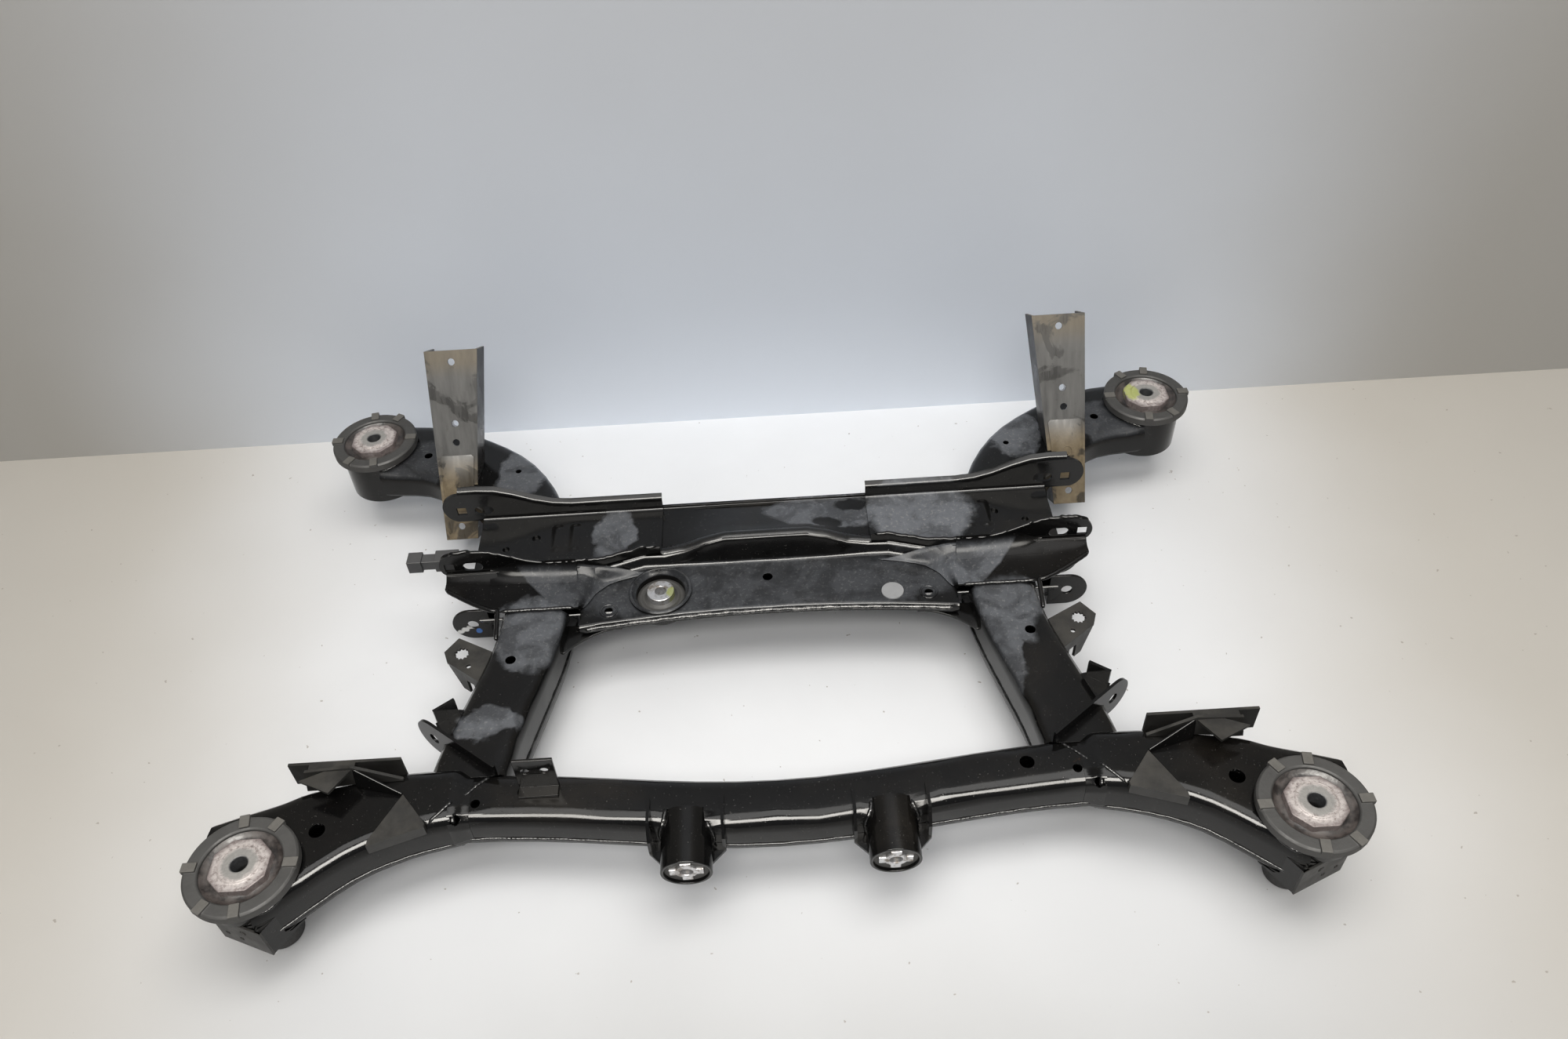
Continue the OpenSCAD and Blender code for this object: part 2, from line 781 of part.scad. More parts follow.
function front_wing(x) =
    mix(wing_rim_h, wing_front_h, step_up(x, slot_x - wing_slope_l, slot_x - wing_slope_l * 0.1));
function rear_wing(x) =
    mix(wing_rim_h + plate, wing_rear_h, step_up(x, slot_x - wing_slope_l * 1.14, slot_x - plate / 2));

// Bolt slots and square guide holes, cut right through both wings
module wing_slots() {
    over = panel_d / 2;
    y = wing_front_y - over;
    length = wing_rear_y - wing_front_y + 2 * over;
    straight = slot_l - slot_h;
    for (e = [-1, 1]) hole_along_y(slot_x + e * straight / 2, y, wing_mid_z, slot_h, length);
    translate([slot_x - straight / 2, y, wing_mid_z - slot_h / 2]) cube([straight, length, slot_h]);
    translate([slot_x + guide_step - guide_side / 2, y, wing_mid_z - guide_side / 2])
        cube([guide_side, length, guide_side]);
}

// Everything beyond a rounded wing tip, between two places along Y
module wing_tip_cut(reach, tip_r, from_y, to_y) {
    translate([0, to_y, 0]) rotate([90, 0, 0]) linear_extrude(to_y - from_y) difference() {
        translate([reach - tip_r, bracket_z - plate - 1]) square([far, wing_rear_h + plate + 10]);
        translate([reach - tip_r, bracket_z - plate + tip_r]) circle(r = tip_r);
    }
}

module link_bracket(side) {
    middle = mix(wing_front_y, wing_rear_y, 0.5);
    stations = [for (k = [0 : 12]) [mix(bracket_in_x, wing_reach, k / 12), 0, bracket_z, 0]];
    profiles = [
        for (s = stations)
            bent([
                [wing_front_y + set_back(s[0]), front_wing(s[0])], [wing_front_y + set_back(s[0]), 0],
                [wing_rear_y, 0], [wing_rear_y, rear_wing(s[0])], [wing_rear_y + 7, rear_wing(s[0]) + 3]
            ], 5)
    ];
    color(black) sided(side) difference() {
        pressing(stations, profiles, plate);
        translate([cross_half + 9, wing_front_y + 0.1, 0]) cube([far, wing_rear_y - wing_front_y - 0.2, far]);
        wing_tip_cut(wing_reach - wing_short, wing_front_h / 2, -far, middle);
        wing_tip_cut(wing_reach, wing_rear_h / 2, middle, far);
        wing_slots();
        hole_down(mix(bracket_in_x, slot_x, 0.7), mix(panel_y, panel_rear_y, 0.55), 10);
        hole_down(mix(bracket_in_x, slot_x, 0.86), mix(panel_y, panel_rear_y, 0.38), 8);
    }
}

// A dish from the rail's top up to the front wing, its outer edge swept out to the wing tip
module wing_scoop(side) {
    top_y = wing_front_y - plate - weld_gap - plate;
    in_x = shelf_half + weld_gap;
    out_x = wing_reach - 16;
    rail_edge = rail_rear_x + rail_w / 2 + 6;
    foot_z = rail_top + weld_gap + plate;
    rings = 14;
    steps = 6;
    stations = [for (k = [0 : rings]) [mix(in_x, out_x, k / rings), 0, 0, 0]];
    profiles = [
        for (s = stations)
            let (
                x = s[0],
                out = clamp01((x - rail_edge) / (out_x - rail_edge)),
                lean = step_up(x, in_x, rail_edge),
                top = bracket_z + min(front_wing(x) - 1, slot_rise - slot_h / 2 - 2),
                a = [mix(pan_front_y + 5, top_y - 10, pow(out, 1.3)), mix(foot_z, bracket_z + 1, out)],
                c = [top_y, top],
                b = [mix(top_y, mix(a[0], top_y, 0.6), lean), mix(a[1], mix(a[1], top, 0.12), lean)]
            )
            concat(
                [[a[0] - 7, a[1]]],
                [for (k = [0 : steps]) arc_point(a, b, c, k / steps)],
                [[top_y, top + 1]]
            )
    ];
    color(black) sided(side) pressing(stations, profiles, plate);
}

module lower_ears(side) {
    web_x = cross_half + weld_gap;
    tip_r = ear_h / 2;
    length = ear_gap + 2 * plate;
    color(black) sided(side) difference() {
        translate([web_x, ear_y, ear_z]) rotate([-90, 0, 0]) linear_extrude(length) union() {
            translate([0, -tip_r]) square([ear_tip_x - web_x - tip_r, ear_h]);
            translate([ear_tip_x - web_x - tip_r, 0]) circle(r = tip_r);
        }
        translate([web_x + plate, ear_y + plate, 0]) cube([far, ear_gap, far]);
        translate([web_x - far, ear_y - 1, 0]) cube([far, length + 2, far]);
        hole_along_y(ear_tip_x - tip_r, ear_y - 1, ear_z, ear_bolt_d, length + 2);
    }
}

// Rear arms and cups

arm_turn = [90, 84, 58, 28, 9, 2];
arm_out = [0, 0.03, 0.19, 0.4, 0.63, 0.94];
arm_back = [-0.12, 0.2, 0.53, 0.76, 0.94, 1];
rear_arm_stations = curve([
    for (i = [0 : 5])
        [
            mix(rear_root_x, rear_x, arm_out[i]), mix(panel_rear_y, mount_y, arm_back[i]),
            rear_arm_seam, arm_turn[i], rear_arm_w + i, rear_arm_top - rear_arm_seam,
            rear_arm_seam - rear_arm_top + rear_arm_h
        ]
]);

module rear_arm_trims() {
    cross_space();
    translate([rear_x, mount_y, 0]) cylinder(r = collar_r + weld_gap, h = far);
}

module rear_arm_upper(side) {
    color(black) sided(side) difference() {
        upper_shell(rear_arm_stations);
        rear_arm_trims();
        hole_down(mix(rear_root_x, rear_x, 0.66), mix(panel_rear_y, mount_y, 0.86), 10);
        hole_down(mix(rear_root_x, rear_x, 0.07), mix(panel_rear_y, mount_y, 0.58), 7);
    }
}

module rear_arm_lower(side) {
    color(black) sided(side) difference() {
        lower_shell(rear_arm_stations);
        rear_arm_trims();
    }
}

module rear_cup(side) {
    color(black) sided(side) translate([rear_x, mount_y, ring_top - ring_h - cup_h])
        ring(collar_r, seat_r, cup_h);
}

// Posts in front of the rear arms

post_nut_at = 0.62;

module post_frame() {
    translate([post_x, post_foot_y, post_foot_z]) rotate([-post_lean, 0, 0]) rotate([90, 0, 0]) children();
}

module post_holes() {
    mid = [for (f = [0.07, 0.52, post_nut_at, 0.94]) [-mix(post_foot_w, post_top_w, f) / 2, f * post_l]];
    for (p = mid) translate([p[0], p[1], -far / 2]) cylinder(d = post_hole_d, h = far);
}

module post(side) {
    color(grey_black) sided(side) difference() {
        post_frame() difference() {
            translate([0, 0, -post_flange]) linear_extrude(post_flange)
                polygon([[0, 0], [0, post_l], [-post_top_w, post_l], [-post_foot_w, 0]]);
            translate([0, 0, -post_flange - plate]) linear_extrude(post_flange)
                polygon([
                    [-plate, plate], [-plate, post_l + 1], [plate - post_top_w, post_l + 1],
                    [plate - post_foot_w, plate]
                ]);
            post_holes();
        }
        skin(stretch(rear_arm_stations, 0.2, 0.9));
    }
}

module post_weld_nuts() {
    mid = mix(post_foot_w, post_top_w, post_nut_at) / 2;
    at = [-mid, post_nut_at * post_l, -plate - shell_fit];
    color(steel) for (s = [-1, 1]) sided(s) post_frame() translate(at) rotate([180, 0, 0]) difference() {
        cylinder(d = post_hole_d * 2, h = post_hole_d, $fn = 6);
        translate([0, 0, -1]) cylinder(d = post_hole_d, h = post_hole_d + 2);
    }
}

// Differential bushes

module diff_part(side) {
    translate([diff_shift + side * diff_pitch / 2, diff_y, diff_z]) rotate([diff_tilt, 0, 0])
        rotate([-90, 0, 0]) children();
}

diff_inner_r = diff_sleeve_d / 2 - diff_sleeve_t;

// Outline of the star core: four arms round a hub
module star_outline() {
    circle(d = diff_bolt_d + 9);
    for (a = [0, 90]) rotate(a) square([diff_inner_r * 1.5, diff_bolt_d * 0.8], center = true);
}

module diff_sleeve(side) {
    color(black) diff_part(side) ring(diff_sleeve_d / 2, diff_inner_r, diff_sleeve_l);
}

module diff_rubber(side) {
    recess = 3;
    color(rubber) diff_part(side) difference() {
        translate([0, 0, recess]) cylinder(r = diff_inner_r, h = diff_sleeve_l - 2 * recess);
        linear_extrude(diff_sleeve_l) star_outline();
    }
}

module diff_core(side) {
    color(steel) diff_part(side) translate([0, 0, 1]) linear_extrude(diff_sleeve_l - 2) difference() {
        star_outline();
        circle(d = diff_bolt_d);
    }
}

module rear_bush_frame() {
    translate([rear_bush_at.x, rear_bush_at.y, shelf_z]) children();
}

module rear_diff_sleeve() {
    r = rear_bush_d / 2;
    color(black) rear_bush_frame() rotate_extrude() polygon([
        [r - plate, 4 - rear_bush_h], [r, 4 - rear_bush_h], [r, weld_gap], [r + rear_bush_lip, weld_gap],
        [r + rear_bush_lip, 3], [r + rear_bush_lip - 3, 4.5], [r + 1, 2.5 + weld_gap], [r - plate, -2]
    ]);
}

module rear_diff_rubber() {
    r = rear_bush_d / 2 - plate;
    core_r = rear_core_d / 2;
    color(rubber) rear_bush_frame() rotate_extrude() polygon([
        [core_r, 4 - rear_bush_h], [r, 4 - rear_bush_h], [r, -8], [r - 4, -6], [core_r + 4, -8], [core_r, -5]
    ]);
}

module rear_diff_core() {
    color(steel) rear_bush_frame() translate([0, 0, 2 - rear_bush_h]) difference() {
        cylinder(d = rear_core_d, h = rear_bush_h);
        translate([0, 0, -1]) cylinder(d = diff_bolt_d, h = rear_bush_h + 2);
    }
}

// Small brackets

// A folded plate under the front bushing: a long leg outward and a short one back to the arm
module foot_bracket(side) {
    corner = [front_x - 21, arm_front_y + weld_gap];
    long_turn = 23;
    short_turn = 122;
    short_leg = 40;
    top = ring_top - ring_h - collar_h - weld_gap;
    color(black) sided(side) difference() {
        translate([corner.x, corner.y, top - foot_h]) linear_extrude(foot_h) union() {
            rotate(long_turn) square([foot_leg, plate]);
            rotate(short_turn) translate([0, -plate]) square([short_leg, plate]);
            circle(r = 0.6);
        }
        translate([front_x, -mount_y, 0]) cylinder(d = front_body_d + 2 * weld_gap, h = far);
        skin(stretch(arm_stations, 0.4, 1));
        for (h = [[0.42, 0.3, 6], [0.55, 0.68, 5], [0.82, 0.62, 5]])
            translate([corner.x, corner.y, top - foot_h * h[1]]) rotate(long_turn)
                hole_along_y(foot_leg * h[0], -1, 0, h[2], plate + 2);
    }
}

// A hood on the arm's rear edge: an upright face, a tab folded forward and a bar behind
module arm_bracket(side) {
    face_y = tube_end_y + arm_in_w * 0.31;
    bar_y = face_y + hood_gap;
    x0 = mix(tube_half, front_x, 0.28);
    bar_top = arm_top + hood_rise * 0.46;
    tab_z = arm_top + hood_rise * 0.85;
    hem = hood_rise * 0.3;
    color(black) sided(side) difference() {
        union() {
            translate([x0, face_y, arm_top]) rotate([90, 0, 0]) linear_extrude(plate)
                polygon([
                    [0, -hem], [0, hem / 4], [hood_l * 0.47, hood_rise], [hood_l * 0.94, hood_rise * 0.85],
                    [hood_l, -hem]
                ]);
            translate([x0 + plate, bar_y, bar_top - hood_bar_h]) cube([hood_bar_l, plate, hood_bar_h]);
            translate([x0, 0, bar_top - plate]) linear_extrude(plate)
                polygon([
                    [hood_l * 0.49, face_y - plate], [hood_l * 0.49, bar_y + plate / 3],
                    [hood_l * 0.96, bar_y + plate / 3], [hood_l * 0.96, face_y - plate]
                ]);
            translate([x0, 0, tab_z - plate]) linear_extrude(plate)
                polygon([
                    [hood_l * 0.45, face_y], [hood_l * 0.57, face_y + hood_gap * 0.3],
                    [hood_l * 0.97, face_y - hood_gap * 0.92], [hood_l * 0.64, face_y - hood_gap * 2.08]
                ]);
        }
        skin(stretch(arm_stations, 0, 0.8));
    }
}

// A three-cornered cap plate over the arm's inner front edge, with a skirt down the front
module arm_gusset(side) {
    a = [tube_half + cap_l * 0.92, tube_end_y - cap_l * 0.02];
    b = [tube_half + cap_l * 0.4, tube_end_y - cap_l * 0.68];
    c = [tube_half + cap_l * 1.4, tube_end_y - cap_l * 0.98];
    skirt = cap_l * 0.18;
    color(black) sided(side) difference() {
        translate([0, 0, arm_top - skirt]) linear_extrude(skirt + weld_gap + plate)
            polygon([a, b, [b.x, b.y - cap_l * 0.08], [c.x, c.y - cap_l * 0.12], c]);
        skin(stretch(arm_stations, 0, 0.7));
    }
}

// Star hole: alternating root and tip points round a circle
module star_hole() {
    polygon([
        for (k = [0 : 2 * star_teeth - 1])
            let (r = star_d / 2 * (k % 2 == 0 ? 1 : 1.3), a = k * 180 / star_teeth)
            [r * cos(a), r * sin(a)]
    ]);
}

// A flat plate beside the rail with a star hole, its front edge folded down into a hook
module hose_bracket(side) {
    root = [rail_rear_x + rail_w / 2 + 1, shelf_y - hose_reach * 0.81];
    z = rail_top - hose_reach / 4;
    fold = [root + hose_reach * [0.19, -0.77], root + hose_reach * [1, -0.15]];
    turn = atan2(fold[1].y - fold[0].y, fold[1].x - fold[0].x);
    fold_l = norm(fold[1] - fold[0]);
    hook_h = hose_reach * 0.65;
    outline = [
        root + hose_reach * [0, -0.85], fold[0], fold[1], root + hose_reach * [1.1, 0.12],
        root + hose_reach * [0.85, 0.48], root
    ];
    hook = [
        [0, -plate / 2], [0, -hook_h * 0.7], [hook_h * 0.3, -hook_h], [fold_l * 0.72, -hook_h],
        [fold_l * 0.98, -plate * 1.5], [fold_l * 0.98, -plate / 2]
    ];
    color(grey_black) sided(side) difference() {
        union() {
            translate([0, 0, z]) linear_extrude(plate) difference() {
                polygon(outline);
                translate(root + hose_reach * [0.73, 0.06]) star_hole();
                translate(root + hose_reach * [0.54, -0.29]) circle(d = star_d * 0.4);
            }
            translate([fold[0].x, fold[0].y, z + plate]) rotate([90, 0, turn])
                translate([0, 0, -plate - weld_gap]) linear_extrude(plate) difference() {
                    polygon(hook);
                    translate([fold_l * 0.32, -hook_h - 1]) square([hook_h * 0.32, hook_h * 0.62]);
                }
        }
        skin(stretch(rail_stations, 0.3, 1));
    }
}

// A diagonal ear across the arm's rear edge, with a flat web to the rail and an upturned tab
module trailing_bracket(side) {
    rail_side = mix(rail_front_x, rail_rear_x, 0.2) + rail_w / 2;
    root = [rail_side - trail_l * 0.533, tube_end_y + trail_l * 0.21];
    heading = 38;
    along = [cos(heading), sin(heading)];
    tuck = [sin(heading), -cos(heading)] * plate / 2;
    top = arm_top + 6;
    tip_r = trail_h / 2;
    hole_at = trail_l - tip_r;
    web_z = rail_top - 5;
    web_end = hole_at - trail_bolt_d;
    tab = [root + trail_l * [0.45, 0.73], root + trail_l * [0.64, 0.59]];
    tab_h = trail_h * 0.48;
    tab_turn = atan2(tab[1].y - tab[0].y, tab[1].x - tab[0].x);
    color(black) sided(side) difference() {
        union() {
            translate([root.x, root.y, top - tip_r]) rotate([90, 0, heading]) linear_extrude(plate)
                difference() {
                    union() {
                        translate([0, -tip_r]) square([hole_at, trail_h]);
                        translate([hole_at, 0]) circle(r = tip_r);
                    }
                    translate([hole_at, 0]) circle(d = trail_bolt_d);
                }
            translate([0, 0, web_z]) linear_extrude(plate)
                polygon([
                    root + along * web_end * 0.5 + tuck, root + along * web_end + tuck, tab[1], tab[0],
                    root + trail_l * [0.18, 0.68]
                ]);
            translate([tab[0].x, tab[0].y, web_z + plate / 2]) rotate([90, 0, tab_turn])
                translate([plate / 2, 0, weld_gap]) linear_extrude(plate)
                    square([norm(tab[1] - tab[0]) - plate, tab_h]);
        }
        skin(arm_root);
        skin(stretch(rail_stations, 0, 0.6));
        skin(tube_end);
    }
}

module small_bracket() {
    w = 38;
    h = 44;
    x = -tube_half * 0.735;
    z = tube_z + tube_h / 2 + weld_gap;
    color(black) translate([x, tube_end_y + 6, z]) {
        rotate([90, 0, 0]) linear_extrude(plate) difference() {
            translate([-w / 2, 0]) square([w, h]);
            for (e = [-1, 1]) translate([e * 9, h * 0.62]) circle(d = 8);
        }
        translate([-w / 2, -14, 0]) cube([w, 14, plate]);
    }
}

module wiring_connector() {
    x = wing_reach - 8;
    y = wing_front_y + weld_gap;
    z = bracket_z + 6;
    color(plastic) sided(-1) translate([x, y, z]) {
        translate([-22, 0, 0]) cube([26, 18, 16]);
        translate([4, 2, 2]) cube([14, 13, 12]);
        translate([18, 0, 0]) cube([16, 17, 16]);
    }
}

front_tube_upper();
front_tube_lower();
cross_upper();
cross_pan();
diff_gussets();
rear_diff_sleeve();
rear_diff_rubber();
rear_diff_core();
shelf_plug();
small_bracket();
wiring_connector();
post_weld_nuts();
for (s = SIDES) {
    front_arm_upper(s[1]);
    front_arm_lower(s[1]);
    front_collar(s[1]);
    front_bushing(s[1]);
    front_core(s[1]);
    side_rail_upper(s[1]);
    side_rail_lower(s[1]);
    link_bracket(s[1]);
    wing_scoop(s[1]);
    lower_ears(s[1]);
    rear_arm_upper(s[1]);
    rear_arm_lower(s[1]);
    rear_cup(s[1]);
    rear_bushing(s[1]);
    rear_core(s[1]);
    post(s[1]);
    diff_sleeve(s[1]);
    diff_rubber(s[1]);
    diff_core(s[1]);
    foot_bracket(s[1]);
    arm_bracket(s[1]);
    arm_gusset(s[1]);
    hose_bracket(s[1]);
    trailing_bracket(s[1]);
}
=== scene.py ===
"""Looks of the rear axle subframe: black oily paint, dusty posts, corroded bushing cores and weld beads.

Metres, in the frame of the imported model: +X to the right, +Y to the rear, +Z up, floor at Z = 0.
"""
import math

import bmesh
import bpy
from mathutils import Matrix, Vector, noise
from mathutils.bvhtree import BVHTree


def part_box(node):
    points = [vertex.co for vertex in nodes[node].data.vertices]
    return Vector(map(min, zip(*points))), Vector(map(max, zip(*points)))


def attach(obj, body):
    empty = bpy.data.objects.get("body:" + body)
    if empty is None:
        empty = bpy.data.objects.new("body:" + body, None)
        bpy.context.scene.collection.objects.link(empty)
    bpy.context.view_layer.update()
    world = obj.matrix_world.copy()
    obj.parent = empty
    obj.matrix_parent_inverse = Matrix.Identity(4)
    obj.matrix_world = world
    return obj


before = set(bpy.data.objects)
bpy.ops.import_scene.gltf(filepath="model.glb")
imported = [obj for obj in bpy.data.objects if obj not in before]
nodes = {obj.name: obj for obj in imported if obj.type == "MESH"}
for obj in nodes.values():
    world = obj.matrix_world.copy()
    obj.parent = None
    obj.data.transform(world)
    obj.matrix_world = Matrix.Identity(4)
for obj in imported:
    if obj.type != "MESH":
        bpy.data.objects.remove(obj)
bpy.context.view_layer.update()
SIDES = {"left": -1, "right": 1}

# The weld beads wander the same way in every run
BEAD_SEED = 5
noise.seed_set(BEAD_SEED)

# Camera of the photograph
CAMERA_AT = Vector((0.022, -0.870, 1.061))
CAMERA_PITCH = math.radians(43.9)
CAMERA_ROLL = math.radians(3.4)
CAMERA_LENS = 18.0
SENSOR_WIDTH = 23.6

# Stage and light
LAMP_WHITE = (1.0, 0.985, 0.96)
GLEAM_TINT = (1.0, 0.965, 0.90)
WORLD_TINT = (0.93, 0.95, 1.0)
WORLD_STRENGTH = 0.28
WALL_Y = 0.445
WALL_HEIGHT = 3.0
STAGE_REACH = 6.0
FLOOR_DROP = 0.0006

# Levels and places taken from the solids
RING_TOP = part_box("front_bushing_right")[1].z
tube_low, tube_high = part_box("front_tube_upper")
TUBE_HALF = tube_high.x
# Middle of the box section where the tube meets the arms
SECTION_Y, SECTION_Z = -0.223, 0.076


def centre_of(node):
    """Middle of a node's box."""
    low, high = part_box(node)
    return (low + high) / 2


class Shader:
    """A node material, built by plain calls that return sockets."""

    def __init__(self, name):
        self.material = bpy.data.materials.new(name)
        self.material.use_nodes = True
        self.nodes = self.material.node_tree.nodes
        self.links = self.material.node_tree.links
        self.nodes.clear()
        self.geometry = self.nodes.new("ShaderNodeNewGeometry")
        self.position = self.geometry.outputs["Position"]

    def put(self, socket, value):
        if isinstance(value, bpy.types.NodeSocket):
            self.links.new(value, socket)
        else:
            socket.default_value = value

    def math(self, operation, a, b=0.0, clamp=False):
        node = self.nodes.new("ShaderNodeMath")
        node.operation = operation
        node.use_clamp = clamp
        self.put(node.inputs[0], a)
        self.put(node.inputs[1], b)
        return node.outputs[0]

    def vector(self, operation, a, b):
        node = self.nodes.new("ShaderNodeVectorMath")
        node.operation = operation
        self.put(node.inputs[0], a)
        self.put(node.inputs[1], b)
        return node.outputs["Value"] if operation == "LENGTH" else node.outputs["Vector"]

    def noise(self, scale, detail=3.0, rough=0.55, distortion=0.0, at=None, colour=False):
        node = self.nodes.new("ShaderNodeTexNoise")
        self.put(node.inputs["Vector"], at or self.position)
        node.inputs["Scale"].default_value = scale
        node.inputs["Detail"].default_value = detail
        node.inputs["Roughness"].default_value = rough
        node.inputs["Distortion"].default_value = distortion
        return node.outputs["Color" if colour else "Fac"]

    def ramp(self, value, low, high, to_low=0.0, to_high=1.0):
        node = self.nodes.new("ShaderNodeMapRange")
        node.interpolation_type = "SMOOTHSTEP"
        self.put(node.inputs["Value"], value)
        node.inputs["From Min"].default_value = low
        node.inputs["From Max"].default_value = high
        node.inputs["To Min"].default_value = to_low
        node.inputs["To Max"].default_value = to_high
        return node.outputs["Result"]

    def blend(self, factor, a, b):
        node = self.nodes.new("ShaderNodeMix")
        node.data_type = "RGBA"
        self.put(node.inputs["Factor"], factor)
        for socket, value in ((node.inputs[6], a), (node.inputs[7], b)):
            self.put(socket, value if isinstance(value, bpy.types.NodeSocket) else (*value, 1.0))
        return node.outputs[2]

    def split(self, value):
        node = self.nodes.new("ShaderNodeSeparateXYZ")
        self.put(node.inputs[0], value)
        return node.outputs

    def upward(self, low, high):
        return self.ramp(self.split(self.geometry.outputs["Normal"])[2], low, high)

    def warped(self, scale, amount):
        """Positions pushed about by noise, so that the edges of zones come out ragged."""
        push = self.vector("SUBTRACT", self.noise(scale, colour=True), (0.5, 0.5, 0.5))
        return self.vector("ADD", self.position, self.vector("MULTIPLY", push, (amount,) * 3))

    def zone(self, centre, radii, at, soft=0.35):
        """1 inside an ellipsoid, falling to 0 at its edge."""
        away = self.vector("SUBTRACT", at, tuple(centre))
        away = self.vector("DIVIDE", away, tuple(radii))
        return self.ramp(self.vector("LENGTH", away, (0, 0, 0)), 1.0 + soft, 1.0 - soft)

    def most(self, values):
        total = values[0]
        for value in values[1:]:
            total = self.math("MAXIMUM", total, value)
        return total

    def bump(self, height, strength, distance, below=None):
        node = self.nodes.new("ShaderNodeBump")
        node.inputs["Strength"].default_value = strength
        node.inputs["Distance"].default_value = distance
        self.put(node.inputs["Height"], height)
        if below is not None:
            self.put(node.inputs["Normal"], below)
        return node.outputs["Normal"]

    def surface(self, colour, roughness, metallic=0.0, normal=None, **fixed):
        shader = self.nodes.new("ShaderNodeBsdfPrincipled")
        self.put(shader.inputs["Base Color"], colour)
        self.put(shader.inputs["Roughness"], roughness)
        self.put(shader.inputs["Metallic"], metallic)
        if normal is not None:
            self.put(shader.inputs["Normal"], normal)
        for name, value in fixed.items():
            shader.inputs[name.replace("_", " ")].default_value = value
        self.output(shader.outputs["BSDF"])
        return self.material

    def output(self, closure):
        self.links.new(closure, self.nodes.new("ShaderNodeOutputMaterial").inputs["Surface"])


# Finishes

# Places with a grey film of dried oil and dust, which also stands for a painted reflection of the pale wall
# on upward faces: centre, radii and how thick it lies
FILM_AND_SHEEN_ZONES = [
    ((-0.252, -0.026, 0.10), (0.042, 0.048, 0.03), 0.75),
    ((-0.288, -0.138, 0.10), (0.034, 0.020, 0.03), 0.8),
    ((0.258, -0.030, 0.10), (0.046, 0.046, 0.03), 0.75),
    ((0.240, -0.090, 0.10), (0.018, 0.052, 0.03), 0.7),
    ((-0.172, 0.110, 0.11), (0.024, 0.044, 0.04), 0.7),
    ((0.176, 0.118, 0.11), (0.060, 0.052, 0.04), 1.0),
    ((0.066, 0.130, 0.11), (0.064, 0.030, 0.03), 0.9),
    ((0.0, 0.030, 0.09), (0.215, 0.045, 0.02), 0.42),
    ((-0.290, 0.240, 0.10), (0.028, 0.050, 0.04), 0.62),
    ((0.312, 0.252, 0.10), (0.030, 0.044, 0.04), 0.75),
    ((-0.430, 0.262, 0.10), (0.045, 0.042, 0.05), 0.25),
    ((0.435, 0.262, 0.10), (0.045, 0.045, 0.05), 0.35),
]
# Dark patches rubbed through the film on the rails and the panel, without its painted reflection either
RUBBED_ZONES = [
    ((-0.271, -0.082, 0.10), (0.014, 0.0065, 0.03)),
    ((-0.268, -0.101, 0.10), (0.014, 0.0065, 0.03)),
    ((0.296, -0.066, 0.10), (0.020, 0.034, 0.03)),
    ((0.100, 0.141, 0.11), (0.020, 0.010, 0.03)),
    ((0.070, 0.108, 0.11), (0.018, 0.010, 0.03)),
]
# Where the film and its painted reflection of the pale wall on the scoops end: a line across X and Y, and
# how sharp its edge is
SLANT_WAY = (0.759, 0.655)
SLANT_AT = 0.171
SLANT_EDGE = 0.0015
# Dabs of paint on single nodes: centre, radii and colour
EAR_DABS = [
    ((-0.355, 0.044, 0.0335), (0.0045, 0.004, 0.0030), (0.72, 0.72, 0.70)),
    ((-0.349, 0.044, 0.0370), (0.0045, 0.004, 0.0032), (0.72, 0.72, 0.70)),
    ((-0.343, 0.044, 0.0405), (0.0042, 0.004, 0.0030), (0.72, 0.72, 0.70)),
    ((-0.334, 0.044, 0.0340), (0.0034, 0.004, 0.0040), (0.05, 0.16, 0.46)),
]


